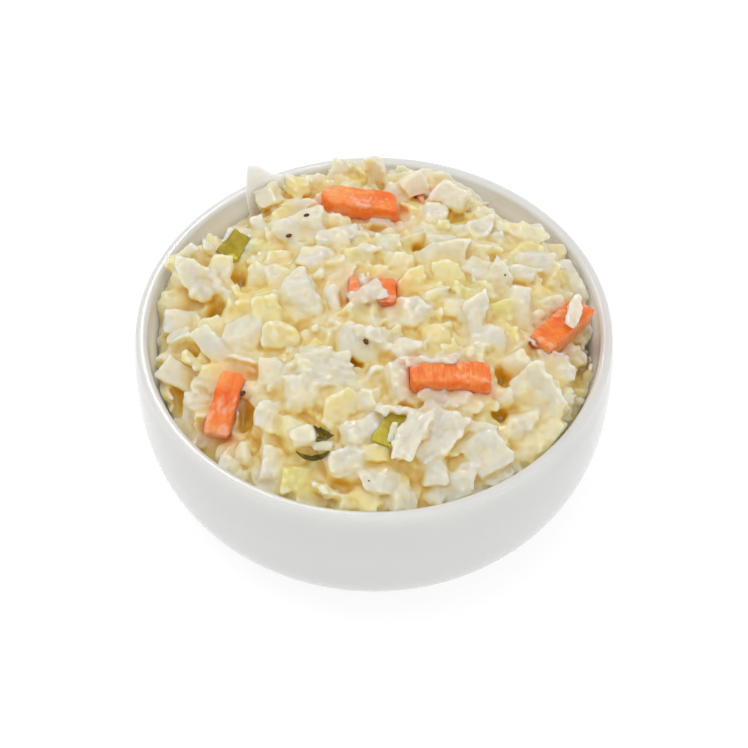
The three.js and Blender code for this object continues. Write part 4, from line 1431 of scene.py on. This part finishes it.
def carrot_material(colours):
    """Raw carrot, cut in bars: orange flesh with paler core streaks along the root, wet.

    To the eye it is a full warm orange, paler where a milky coat of dressing lies on it and where
    a wet sheen is painted on its upper faces, with a sharp wet shine. Streaks are 1.5 mm wide, and
    the marks of a crinkled blade 0.6 mm.
    """
    material, tree = new_material("wet cut carrot")
    grain = add(tree, "ShaderNodeAttribute", attribute_name="grain").outputs["Vector"]
    stretched = add(tree, "ShaderNodeMapping", {"Vector": grain, "Scale": (0.16, 1.0, 1.0)})
    streaks = add(
        tree, "ShaderNodeTexNoise",
        {"Vector": stretched.outputs["Vector"], "Scale": grains(1.538), "Detail": 3.0},
    )
    patches = add(
        tree, "ShaderNodeTexNoise",
        {"Vector": grain, "Scale": grains(5.263), "Detail": 2.0},
    )
    film = add(tree, "ShaderNodeAttribute", attribute_name="film").outputs["Fac"]
    fluted = add(tree, "ShaderNodeAttribute", attribute_name="fluted").outputs["Fac"]
    crossways = add(tree, "ShaderNodeMapping", {"Vector": grain, "Scale": (1.0, 0.16, 0.3)})
    flutes = add(
        tree, "ShaderNodeTexNoise",
        {"Vector": crossways.outputs["Vector"], "Scale": grains(0.5882), "Detail": 1.0},
    )
    cut = add(
        tree, "ShaderNodeMix",
        {"Factor": fluted, "A": streaks.outputs["Fac"], "B": flutes.outputs["Fac"]},
        data_type="FLOAT",
    )
    both = add(
        tree, "ShaderNodeMath",
        {0: cut.outputs["Result"], 1: 0.5, 2: patches.outputs["Fac"]},
        operation="MULTIPLY_ADD",
    )
    spread = add(
        tree, "ShaderNodeMapRange",
        {"Value": both.outputs[0], "From Min": 0.5, "From Max": 1.0},
    )
    root = add(
        tree, "ShaderNodeValToRGB",
        {"Fac": spread.outputs["Result"]},
        stops=[(0.0, linear("#EC6210")), (0.5, (*colours.carrot, 1.0)), (1.0, linear("#F9AC60"))],
    )
    # the pale coat of dressing, with a painted wet sheen on the upper faces
    flesh = add(
        tree, "ShaderNodeMix",
        {"Factor": film, "A": root.outputs["Color"], "B": linear("#F7AE88")},
        data_type="RGBA",
    )
    bump = add(
        tree, "ShaderNodeBump",
        {"Height": cut.outputs["Result"], "Strength": 0.35, "Distance": 0.0005},
    )
    shader = add(
        tree, "ShaderNodeBsdfPrincipled",
        {
            "Base Color": flesh.outputs["Result"],
            "Roughness": 0.32,
            "IOR": 1.38,
            "Subsurface Weight": 0.5,
            "Subsurface Radius": (1.0, 0.35, 0.12),
            "Subsurface Scale": 0.002,
            "Coat Weight": 0.4,
            "Coat Roughness": 0.1,
            "Coat IOR": 1.36,
            "Normal": bump.outputs["Normal"],
        },
    )
    return finished(material, shader)


def pickle_material(colours):
    """Pickled green pepper and relish: olive skin over pale wet flesh.

    To the eye it is a dark yellow-green that glows where light passes through the thin wall.
    """
    material, tree = new_material("pickled green pepper")
    grain = add(tree, "ShaderNodeAttribute", attribute_name="grain").outputs["Vector"]
    flesh_share = add(tree, "ShaderNodeAttribute", attribute_name="tone").outputs["Fac"]
    mottle = add(tree, "ShaderNodeTexNoise", {"Vector": grain, "Scale": grains(2.381), "Detail": 4.0})
    skin = add(
        tree, "ShaderNodeValToRGB",
        {"Fac": mottle.outputs["Fac"]},
        stops=[(0.25, linear("#8A7800")), (0.5, (*colours.pepper, 1.0)), (0.75, linear("#BDAA22"))],
    )
    both = add(
        tree, "ShaderNodeMix",
        {"Factor": flesh_share, "A": skin.outputs["Color"], "B": linear("#D2C544")},
        data_type="RGBA",
    )
    bump = add(
        tree, "ShaderNodeBump",
        {"Height": mottle.outputs["Fac"], "Strength": 0.25, "Distance": 0.0004},
    )
    shader = add(
        tree, "ShaderNodeBsdfPrincipled",
        {
            "Base Color": both.outputs["Result"],
            "Roughness": 0.4,
            "IOR": 1.36,
            "Subsurface Weight": 0.7,
            "Subsurface Radius": (0.9, 0.9, 0.25),
            "Subsurface Scale": 0.002,
            "Coat Weight": 0.15,
            "Coat Roughness": 0.12,
            "Normal": bump.outputs["Normal"],
        },
    )
    return finished(material, shader)


def herb_material():
    """Soaked parsley: a thin dark green leaf, nearly black where it folds."""
    material, tree = new_material("soaked parsley")
    grain = add(tree, "ShaderNodeAttribute", attribute_name="grain").outputs["Vector"]
    mottle = add(tree, "ShaderNodeTexNoise", {"Vector": grain, "Scale": grains(2.0), "Detail": 4.0})
    leaf = add(
        tree, "ShaderNodeValToRGB",
        {"Fac": mottle.outputs["Fac"]},
        stops=[(0.0, linear("#2A2000")), (0.5, linear("#5C4F00")), (1.0, linear("#AE9C24"))],
    )
    bump = add(
        tree, "ShaderNodeBump",
        {"Height": mottle.outputs["Fac"], "Strength": 0.5, "Distance": 0.0005},
    )
    shader = add(
        tree, "ShaderNodeBsdfPrincipled",
        {
            "Base Color": leaf.outputs["Color"],
            "Roughness": 0.45,
            "IOR": 1.33,
            "Coat Weight": 0.15,
            "Coat Roughness": 0.12,
            "Normal": bump.outputs["Normal"],
        },
    )
    return finished(material, shader)


def seed_material():
    """Celery seed: a ribbed red-brown husk, dull and dark between its ribs."""
    material, tree = new_material("celery seed husk")
    grain = add(tree, "ShaderNodeAttribute", attribute_name="grain").outputs["Vector"]
    husk = add(tree, "ShaderNodeTexNoise", {"Vector": grain, "Scale": grains(0.7143), "Detail": 2.0})
    colour = add(
        tree, "ShaderNodeValToRGB",
        {"Fac": husk.outputs["Fac"]},
        stops=[(0.0, linear("#2E1206")), (0.5, linear("#5F2A10")), (1.0, linear("#9A5B2C"))],
    )
    shader = add(
        tree, "ShaderNodeBsdfPrincipled",
        {"Base Color": colour.outputs["Color"], "Roughness": 0.5, "IOR": 1.45},
    )
    return finished(material, shader)


def paper_material():
    """A white paper sweep, lit so that it is as bright as the light above it."""
    material, tree = new_material("white paper sweep")
    place = add(tree, "ShaderNodeTexCoord").outputs["Object"]
    fibre = add(tree, "ShaderNodeTexNoise", {"Vector": place, "Scale": grains(1.11), "Detail": 2.0})
    colour = add(
        tree, "ShaderNodeMix",
        {"Factor": fibre.outputs["Fac"], "A": linear("#B4B4B4"), "B": linear("#B9B9B9")},
        data_type="RGBA",
    )
    shader = add(
        tree, "ShaderNodeBsdfPrincipled",
        {
            "Base Color": colour.outputs["Result"],
            "Roughness": 0.9,
            "Specular IOR Level": 0.0,
            "Emission Color": (1.0, 1.0, 1.0, 1.0),
            "Emission Strength": SWEEP_GLOW,
        },
    )
    return finished(material, shader)


# ---- making the pieces ----


def make_bowl(name, material):
    """The turned bowl: foot, belly, rounded lip and inner wall, from axis to axis."""
    foot_inner = FOOT_RADIUS - FOOT_WIDTH
    foot = [
        (0.0, FOOT_RECESS),
        (foot_inner - FOOT_RECESS, FOOT_RECESS),
        (foot_inner - 0.4, 0.5),
        (foot_inner, 0.0),
        (FOOT_RADIUS - 0.3, 0.0),
        (FOOT_RADIUS, 0.3),
    ]
    outer = belly_curve(FOOT_RADIUS, FOOT_HEIGHT, BELLY_RADIUS, BELLY_STEPS)
    upper = upper_curve(BELLY_RADIUS, RIM_RADIUS, CORNER_STEPS)[:-1]
    quarter = np.pi / 2
    corner_height = RIM_HEIGHT - LIP_CORNER
    lip_out = corner_curve(
        RIM_RADIUS - LIP_CORNER, corner_height, LIP_CORNER, 0, quarter, CORNER_STEPS
    )
    lip_in = corner_curve(
        RIM_RADIUS - WALL + LIP_INSIDE, RIM_HEIGHT - LIP_INSIDE, LIP_INSIDE,
        quarter, quarter, CORNER_STEPS,
    )
    inner = inner_wall()[:-1][::-1]
    floor = [(FLOOR_RADIUS / 2, FLOOR_HEIGHT), (0.0, FLOOR_HEIGHT)]
    profile = np.concatenate([foot, outer, upper, lip_out, lip_in, inner, floor])
    turn = 2 * np.pi * np.arange(BOWL_SEGMENTS) / BOWL_SEGMENTS
    radius, angle = np.meshgrid(profile[1:-1, 0], turn, indexing="ij")
    height = np.repeat(profile[1:-1, 1:2], BOWL_SEGMENTS, 1)
    body = np.stack([radius * np.cos(angle), radius * np.sin(angle), height], -1).reshape(-1, 3)
    points = np.concatenate([body, [[0, 0, profile[0, 1]], [0, 0, profile[-1, 1]]]])
    outer_rows = len(foot) + len(outer) + len(upper) + len(lip_out) + len(lip_in)
    # Painted light: the rows of the inner face, where the glaze is painted whiter.
    inside = smooth_step(np.arange(len(profile)), outer_rows - 3, outer_rows + 3)
    inside = np.concatenate([np.repeat(inside[1:-1], BOWL_SEGMENTS), [0.0, 1.0]])
    faces = tube_faces(len(profile) - 2, BOWL_SEGMENTS)
    return mesh_object(name, points, faces, {"inside": inside}, material)


# ---- toppings ----

# Each topping's size, plan position, turn, pitch and roll in degrees, lift above the heap, slant of
# its cut end, and for a carrot whether its other end is round, how fluted its faces are, how much
# of it the dressing coats, and how far the coat thickens towards its cut end. A chip has the
# direction of its pale corner instead, where the paleness starts and how far it spreads.
CARROTS = {
    "carrot_back": ((19.5, 6.4, 4.4), (-3.2, 31.8), (-13, 2, -6), 0.6, 2.2, 1.0, 0.0, 0.25, -0.4),
    "carrot_centre": ((11.0, 6.5, 3.0), (-0.2, 3.6), (-4, 0, 4), -0.8, 0.8, 0.0, 0.0, 0.4, -0.6),
    "carrot_front": ((18.2, 5.8, 5.0), (16.7, -21.1), (2, -3, 0), 0.3, 0.3, 0.0, 1.0, 0.1, -0.2),
    "carrot_left": ((15.5, 5.6, 4.6), (-32.8, -23.9), (252, -29, -10), 0.5, 0.6, 0.35, 0.0, 0.2, 1.5),
    "carrot_right": ((17.6, 6.0, 5.4), (42.1, -2.5), (52, -9, 8), 1.9, 0.3, 0.0, 1.0, 0.05, -0.7),
    "carrot_far": ((6.5, 4.4, 3.0), (13.4, 36.6), (24, 0, 0), -0.6, 0.6, 0.0, 0.0, 0.5, 0.0),
}
CHIPS = {
    "pepper_chip": ((7.4, 5.3, 1.6), (-32.0, 20.9), (58, 3, 10), 0.7, 0.4, (-0.86, -0.51), 0.85, 0.12),
    "relish_chip": ((7.8, 5.8, 2.0), (4.0, -33.9), (58, 10, 6), -0.5, 0.8, (-0.6, 0.1), -1.0, 2.4),
}
HERB = ((10.5, 6.5, 0.6), (-11.6, -37.3), (24, 6, 16), 0.6)
# The herb's blades in plan from its middle: both ends, sag, half-width, and skew of the widest part.
HERB_BLADES = (
    ((-2.8, 3.2), (3.0, 2.6), -0.2, 1.9, 0.5),
    ((-5.4, -0.6), (2.8, 0.1), -2.3, 0.65, 0.75),
)
SLAB = ((8.0, 14.0, 1.8), (-26.0, 39.3), (8, 0, 82), 4.6, 1.5)


def topping_place(at, lift):
    """A topping's centre: its plan position, and its lift above the plain heap."""
    return np.array([*at, heap_height(*at, PLAIN_HOLLOWS, ()) + lift])


def box_planes(size, angles, top=1.0):
    """A turned box's planes at its real size; its top stands at so many half thicknesses."""
    normals = np.concatenate([np.eye(3), -np.eye(3)]) / (np.tile(size, 2)[:, None] / 2)
    return normals @ topping_turn(*angles).T, np.array([1, 1, top, 1, 1, 1])


def bar_planes(size, slant, rounded):
    """The strokes that cut a bar, in units of its half sizes: a slanting end, and a round one."""
    tip = slant / (size[0] / 2)
    normals = [(2, tip, 0), (-1, 0, 0), (0, 1, 0), (0, -1, 0), (0, 0, 1), (0, 0, -1)]
    offsets = [2 - tip, 1, 1, 1, 1, 1]
    if rounded:
        swing = 0.7 * rounded * size[1] / size[0]
        normals += [(-1, swing * 1.2, 0), (-1, -swing * 1.2, 0), (-1, swing * 3, 0), (-1, -swing * 3, 0)]
        offsets += [1.06, 1.06, 1.0 + swing * 1.9, 1.0 + swing * 1.9]
    lengths = [np.linalg.norm(n) for n in normals]
    return np.array(normals) / np.array(lengths)[:, None], np.array(offsets) / lengths


def make_bar(name, size, at, angles, lift, slant, rounded, fluted, coated, cut_end, material, seed):
    """A cut carrot bar: its strokes' surface on a fine grid, uneven like a hand-cut root.

    The faces swell by 8 mm ripples and are pitted by 3 and 1 mm ones; the edges wander with them.
    The pale coat is where a face is coated with dressing, more beside the cabbage and on torn
    edges, and more on the upper faces as a painted wet sheen; the flutes are where a crinkled
    blade cut.
    """
    unit, quads = cut_surface((80, 28, 22), *bar_planes(size, slant, rounded), 11)
    local = unit * (np.array(size) / 2)
    swell = 0.045 * ripple(local, 8.0, seed) + 0.018 * ripple(local, 2.6, seed + 1)
    local = local * (1 + swell[:, None] * [0.35, 1, 1])
    local += 0.05 * ripple(local, 1.3, seed + 5)[:, None] * unit
    groove = fluted * 0.03 * np.sin(2 * np.pi * local[:, 0] / FLUTE_SPACING + ripple(local, 4.0, seed))
    local[:, 2] += groove * smooth_step(np.abs(unit[:, 2]), 0.4, 0.8) * np.sign(unit[:, 2])
    # painted highlight: upper faces carry more of the pale coat, as a painted wet sheen
    upper = smooth_step(unit[:, 2], -0.2, 0.9)
    patchy = ripple(local * [0.6, 1, 1], 5.0, seed + 2) + 0.5 * ripple(local, 1.6, seed + 3)
    film = smooth_step(patchy + 2.2 * coated + cut_end * unit[:, 0] - 0.9, 0.0, 1.1)
    points = local @ topping_turn(*angles).T + topping_place(at, lift)
    gap = mass.sample(mass.field, points)
    smeared = smooth_step(1.0 + 0.4 * ripple(local, 1.2, seed + 6) - gap, 0.0, 1.0)
    beside = np.sort(np.abs(unit), axis=1)[:, 1]
    frayed = smooth_step(beside + 0.05 * ripple(local, 0.9, seed + 7), 0.86, 1.0)
    # painted sheen on the upper faces, and dressing beside the cabbage and on torn edges
    film = film * (0.35 + 0.55 * upper) + 0.3 * smeared + 0.2 * frayed
    attributes = {
        "grain": local * MM + seed * 0.05,
        "film": np.clip(film, 0, 1),
        "fluted": np.full(len(points), fluted),
    }
    return mesh_object(name, points, [quads], attributes, material)


def make_chip(name, size, at, angles, lift, slant, pale_corner, limit, spread, material, seed):
    """A flat four-sided chip: a sheared square plate with torn edges and a pale fleshy corner."""
    shear = slant / size[0]
    normals = np.array([(1, shear, 0), (-1, -shear, 0), (0, 1, 0), (0, -1, 0), (0, 0, 1), (0, 0, -1)])
    unit, quads = cut_surface((26, 22, 6), normals, np.ones(6), 18)
    local = unit * (np.array(size) / 2)
    swell = 0.02 * ripple(local, 3.0, seed) + 0.012 * ripple(local, 1.2, seed + 1)
    local = local * (1 + swell[:, None])
    local[:, 2] += 0.22 * ripple(local * [1, 1, 0], 5.0, seed + 2)
    toward = unit[:, 0] * pale_corner[0] + unit[:, 1] * pale_corner[1]
    pale = smooth_step(toward + 0.16 * ripple(local, 1.6, seed + 3), limit, limit + spread)
    side = smooth_step(np.abs(unit[:, :2]).max(1) - np.abs(unit[:, 2]), 0.0, 0.1) * 0.5
    below = smooth_step(-unit[:, 2], 0.2, 0.6)
    points = local @ topping_turn(*angles).T + topping_place(at, lift)
    attributes = {"grain": local * MM + seed * 0.05, "tone": np.clip(pale + side * below, 0, 1)}
    return mesh_object(name, points, [quads], attributes, material)


def make_herb(name, at, angles, lift, material):
    """A torn, folded leaf: two pointed blades that taper from one side and sag between their ends.

    A blade's half-width is a power of the sine of its length, skewed to where it is widest.
    """
    grid, quads = box_grid(40, 10, 2)
    along, across = (grid[:, 0] + 1) / 2, grid[:, 1]
    blades = []
    for start, end, sag, half_width, skew in HERB_BLADES:
        start, end = np.array(start), np.array(end)
        run = (end - start) / np.linalg.norm(end - start)
        aside = np.array([-run[1], run[0]])
        jag = 1 + 0.07 * np.sin(23 * along + 2 * across) + 0.05 * np.sin(41 * along)
        width = half_width * np.maximum(np.sin(np.pi * along**skew), 0.02) ** 0.9 * jag
        bow = sag * 4 * along * (1 - along)
        plan = start + along[:, None] * (end - start) + (across * width + bow)[:, None] * aside
        fold = 0.5 * np.abs(across) * width + 0.25 * np.sin(9 * along + 2 * across)
        blades.append(np.column_stack([plan, fold + 0.16 * grid[:, 2]]))
    local = np.concatenate(blades)
    _, pitch, roll = angles
    points = local @ topping_turn(0, pitch, roll).T + topping_place(at, lift)
    faces = [repeated(quads, len(blades), len(grid))]
    return mesh_object(name, points, faces, {"grain": local * MM}, material)


def make_slab(name, size, at, angles, lift, slant, material):
    """The tall rib slab: a thick plate whose top falls from a sharp left tip to the right.

    Its left and right edges and its top are curves of height and width, its left third is folded
    forwards, and it thins towards the edges.
    """
    grid, quads = box_grid(34, 44, 5)
    u, v, w = grid.T
    length, width, thickness = size
    across, up = (u + 1) / 2, (v + 1) / 2
    left = -3.1 - 0.9 * np.sin(np.pi * np.clip(up, 0, 1)) - 0.1 * up**3
    right = length / 2 + 0.2 + 1.0 * up
    top = width / 2 + 3.4 - 5.4 * across**0.8 + 0.35 * np.sin(7 * across)
    x = left + (right - left) * across
    y = -width / 2 + (top + width / 2) * up
    fold = 1.5 * smooth_step(-u, 0.1, 1.0) ** 1.5 + 0.3 * np.sin(2.2 * u + 1.4 * v)
    edge = 1 - 0.75 * np.clip(np.maximum(np.abs(u), v), 0, 1) ** 4
    local = np.stack([x, y, fold + w * thickness / 2 * edge], -1)
    local += 0.06 * ripple(local, 2.0, 91)[:, None] * [0.8, 0.8, 1]
    points = local @ topping_turn(*angles).T + topping_place(at, lift)
    return mesh_object(name, points, [quads], {"grain": local * MM}, material)


# Seeds and specks: plan position, turn, and length.
SEEDS = (
    (-15.4, 25.7, 10, 1.5), (-19.5, 21.5, 25, 1.5), (-1.8, -12.8, 115, 1.7), (-28.8, -23.0, 60, 1.6),
    (10.8, -35.3, 30, 0.5), (-1.1, -44.8, 0, 0.5), (0.2, -44.8, 0, 0.5), (29.6, 8.4, 80, 0.6),
)


def make_seeds(name, material):
    """Ribbed ellipsoids, half sunk in what they lie on."""
    grid, quads = box_grid(8, 6, 6)
    unit = grid / np.linalg.norm(grid, axis=1, keepdims=True)
    x, y, turn, length = np.array(SEEDS).T
    ribs = 1 + 0.05 * np.cos(7 * np.arctan2(unit[:, 2], unit[:, 1]))
    shape = unit * np.stack([np.ones(len(unit)), 0.62 * ribs, 0.55 * ribs], -1) / 2
    local = shape[None] * length[:, None, None]
    place = np.stack([x, y, pile.at(x, y) + 0.12 * length], -1)
    points = np.einsum("cvk,cjk->cvj", local, turn_about(2, turn)) + place[:, None]
    grain = (local + x[:, None, None]) * MM
    faces = [repeated(quads, len(SEEDS), len(grid))]
    return mesh_object(name, points.reshape(-1, 3), faces, {"grain": grain.reshape(-1, 3)}, material)


# ---- operators ----


def colour_property(name, description, hex_code):
    """A colour that a user may change."""
    return bpy.props.FloatVectorProperty(
        name=name, description=description, default=linear(hex_code)[:3],
        subtype="COLOR", size=3, min=0.0, max=1.0,
    )


class ColeslawSizes(bpy.types.PropertyGroup):
    """How coarsely the cabbage is chopped and how finely its surface is made"""

    bed_spacing: bpy.props.FloatProperty(
        name="Bed Spacing", description="Distance between the pieces that lie deepest",
        default=BED_SPACING * MM, min=0.003, max=0.01, precision=4,
        subtype="DISTANCE", unit="LENGTH",
    )
    piece_scale: bpy.props.FloatProperty(
        name="Piece Scale", description="Size of the loose pieces against chopped cabbage of 8 mm",
        default=1.0, min=0.6, max=1.5, subtype="FACTOR",
    )
    surface_triangles: bpy.props.IntProperty(
        name="Surface Triangles", description="Most triangles that the cabbage's surface may have",
        default=190000, min=20000, max=195000,
    )


class ColeslawColours(bpy.types.PropertyGroup):
    """The colours of the pieces under white light"""

    porcelain: colour_property("Porcelain", "The bowl's glazed outside", "#D3D3D1")
    rib: colour_property("Rib", "The palest cabbage, on the ribs", "#DBD7C8")
    leaf: colour_property("Leaf", "The yellowest cabbage, on the leaf", "#EBD482")
    # painted shade: the amber that the cabbage is painted deep in its hollows
    crevice: colour_property("Crevice", "Cabbage deep between the pieces", "#E0AC1E")
    carrot: colour_property("Carrot", "Cut carrot between its streaks", "#F5842E")
    pepper: colour_property("Pepper", "Pickled pepper and relish", "#A89102")


class COLESLAW_OT_bowl(bpy.types.Operator):
    """Turns the porcelain bowl"""

    bl_idname = "coleslaw.bowl"
    bl_label = "Porcelain Bowl"

    def execute(self, context):
        bowl = make_bowl("porcelain_bowl", porcelain_material(context.scene.coleslaw_colours))
        ride(bowl, "bowl")
        return {"FINISHED"}


class COLESLAW_OT_heap(bpy.types.Operator):
    """Fills the bowl with chopped cabbage"""

    bl_idname = "coleslaw.heap"
    bl_label = "Chopped Cabbage"

    def execute(self, context):
        sizes = context.scene.coleslaw_sizes
        material = cabbage_material(context.scene.coleslaw_colours)
        toppings = [row[:4] for row in (*CARROTS.values(), *CHIPS.values(), HERB, SLAB)]
        laid = []
        for size, at, angles, lift in toppings:
            place = topping_place(at, lift)
            shape = pile.footprint(box_planes(size, angles), place, 0.6 * np.linalg.norm(size))
            pile.block(shape, place[2], TOPPING_GAP)
            laid.append((shape, place[2]))
        landmarks = landmark_batches(np.random.default_rng(5))
        for batch in landmarks:
            for i, centre in enumerate(batch.centres):
                shape = pile.footprint(batch.planes(i), centre, batch.reach(i))
                pile.block(shape, centre[2], -LANDMARK_OVERLAP)
                laid.append((shape, centre[2]))
        fillers = fill_batches(np.random.default_rng(11), sizes.piece_scale)
        for shape, centre in laid:
            pile.lay(shape, centre)
        bed = bed_batches(np.random.default_rng(31), sizes.bed_spacing / MM)
        for batch in (*bed, *fillers):
            mass.fuse_all(batch)
        for pit in PITS:
            mass.hollow_out(*pit)
        for batch in landmarks:
            mass.fuse_all(batch)
        mass.dress()
        for name, (size, at, angles, lift, slant, rounded, *_) in CARROTS.items():
            normals, offsets = bar_planes(size, slant, rounded)
            offsets[4] = 1.0 if name == "carrot_far" else OPEN_ABOVE
            planes = ((normals / (np.array(size) / 2)) @ topping_turn(*angles).T, offsets)
            reach = 0.6 * np.linalg.norm(size) + 3
            mass.carve(planes, topping_place(at, lift), reach, -MASS_OVERLAP)
        for size, at, angles, lift in [row[:4] for row in (*CHIPS.values(), HERB, SLAB)]:
            size = 0.9 * np.array(size)
            planes = box_planes(size, angles, OPEN_ABOVE)
            reach = 0.6 * np.linalg.norm(size) + 3
            mass.carve(planes, topping_place(at, lift), reach, -MASS_OVERLAP)
        for batch in overlaid_batches(np.random.default_rng(23)):
            mass.fuse_all(batch)
        # Painted light: the cabbage round each carrot is painted orange, as if lit by light bounced from
        # it.
        for size, at, angles, lift in [row[:4] for row in CARROTS.values()]:
            reach = 0.6 * np.linalg.norm(size) + 4
            mass.tinge(box_planes(size, angles), topping_place(at, lift), reach, STAIN_SHARE)
        mass.field = softened(mass.field, mass.SMOOTHING)
        mass.survey()
        ride(mass.build("chopped_cabbage", sizes.surface_triangles, material), "slaw")
        return {"FINISHED"}


class COLESLAW_OT_carrots(bpy.types.Operator):
    """Cuts the carrot bars and lays them on the heap"""

    bl_idname = "coleslaw.carrots"
    bl_label = "Carrot Bars"

    def execute(self, context):
        material = carrot_material(context.scene.coleslaw_colours)
        for seed, (name, row) in enumerate(CARROTS.items()):
            bar = make_bar(f"{name}_bar", *row, material, seed + 3)
            ride(bar, name)
        return {"FINISHED"}


class COLESLAW_OT_greens(bpy.types.Operator):
    """Cuts the pepper and relish chips and tears the herb leaf"""

    bl_idname = "coleslaw.greens"
    bl_label = "Green Pieces"

    def execute(self, context):
        material = pickle_material(context.scene.coleslaw_colours)
        for seed, (name, row) in enumerate(CHIPS.items()):
            chip = make_chip(f"{name}_cut", *row, material, 20 + seed)
            ride(chip, name)
        leaf = make_herb("herb_leaf_torn", *HERB[1:], herb_material())
        ride(leaf, "herb_leaf")
        return {"FINISHED"}


class COLESLAW_OT_slab(bpy.types.Operator):
    """Stands the tall rib slab at the back left"""

    bl_idname = "coleslaw.slab"
    bl_label = "Cabbage Slab"

    def execute(self, context):
        slab = make_slab("cabbage_slab_cut", *SLAB, rib_material())
        ride(slab, "cabbage_slab")
        return {"FINISHED"}


class COLESLAW_OT_seeds(bpy.types.Operator):
    """Scatters the celery seeds"""

    bl_idname = "coleslaw.seeds"
    bl_label = "Celery Seeds"

    def execute(self, context):
        seeds = make_seeds("celery_seeds", seed_material())
        ride(seeds, "slaw")
        return {"FINISHED"}


class COLESLAW_OT_stage(bpy.types.Operator):
    """Sets up the floor, the lights and the camera"""

    bl_idname = "coleslaw.stage"
    bl_label = "Stage"

    def execute(self, context):
        scene = context.scene
        corners = np.array([[-1, -1, 0], [1, -1, 0], [1, 1, 0], [-1, 1, 0]]) * SWEEP_HALF
        square = [np.array([[0, 1, 2, 3]])]
        floor = mesh_object(
            "paper_sweep", corners - [0, 0, SWEEP_DROP], square, material=paper_material()
        )
        world = bpy.data.worlds.new("soft studio")
        scene.world = world
        world.use_nodes = True
        background = world.node_tree.nodes["Background"]
        background.inputs["Color"].default_value = linear("#FFFFFF")
        background.inputs["Strength"].default_value = SKY_STRENGTH
        for name, place, size, power in LAMPS:
            light = bpy.data.lights.new(name, "AREA")
            light.shape = "SQUARE"
            light.size = size * MM
            light.energy = power
            lamp = bpy.data.objects.new(name, light)
            lamp.location = np.array(place) * MM
            direction = np.array([0, 0, RIM_HEIGHT]) - np.array(place)
            lamp.rotation_euler = aim(direction)
            scene.collection.objects.link(lamp)
        place, forward = view_axes()
        data = bpy.data.cameras.new("camera")
        data.sensor_width = SENSOR
        data.lens = SENSOR * FOCAL_PIXELS / RENDER_PIXELS
        data.clip_start = 0.01
        camera = bpy.data.objects.new("camera", data)
        camera.location = place * MM
        camera.rotation_euler = aim(forward)
        scene.collection.objects.link(camera)
        scene.camera = camera
        scene.view_settings.view_transform = "Standard"
        scene.view_settings.look = "None"
        scene.view_settings.exposure = 0.0
        scene.view_settings.gamma = 1.0
        return {"FINISHED"}


def aim(direction):
    """Euler angles that turn a camera's or lamp's -Z axis along a direction, with +Y upwards."""
    x, y, z = direction / np.linalg.norm(direction)
    return (math.acos(-z), 0.0, math.atan2(-x, y) if abs(x) + abs(y) > 1e-9 else 0.0)


class COLESLAW_PT_sidebar(bpy.types.Panel):
    """Lists the pieces in the sidebar"""

    bl_idname = "COLESLAW_PT_sidebar"
    bl_label = "Coleslaw"
    bl_space_type = "VIEW_3D"
    bl_region_type = "UI"
    bl_category = "Coleslaw"

    def draw(self, context):
        for group in (context.scene.coleslaw_sizes, context.scene.coleslaw_colours):
            for name in group.__annotations__:
                self.layout.prop(group, name)
        for operator in OPERATORS:
            self.layout.operator(operator.bl_idname)


OPERATORS = (
    COLESLAW_OT_bowl,
    COLESLAW_OT_heap,
    COLESLAW_OT_carrots,
    COLESLAW_OT_greens,
    COLESLAW_OT_slab,
    COLESLAW_OT_seeds,
    COLESLAW_OT_stage,
)
CLASSES = (ColeslawSizes, ColeslawColours, *OPERATORS, COLESLAW_PT_sidebar)


def register():
    """Registers the classes and hangs the sizes and colours on the scene."""
    for item in CLASSES:
        bpy.utils.register_class(item)
    bpy.types.Scene.coleslaw_sizes = bpy.props.PointerProperty(type=ColeslawSizes)
    bpy.types.Scene.coleslaw_colours = bpy.props.PointerProperty(type=ColeslawColours)


def unregister():
    """Takes away what register adds."""
    del bpy.types.Scene.coleslaw_colours
    del bpy.types.Scene.coleslaw_sizes
    for item in reversed(CLASSES):
        bpy.utils.unregister_class(item)


def main():
    """Makes every piece and the stage in order."""
    register()
    for operator in OPERATORS:
        group, name = operator.bl_idname.split(".")
        getattr(getattr(bpy.ops, group), name)()


if __name__ == "__main__":
    main()
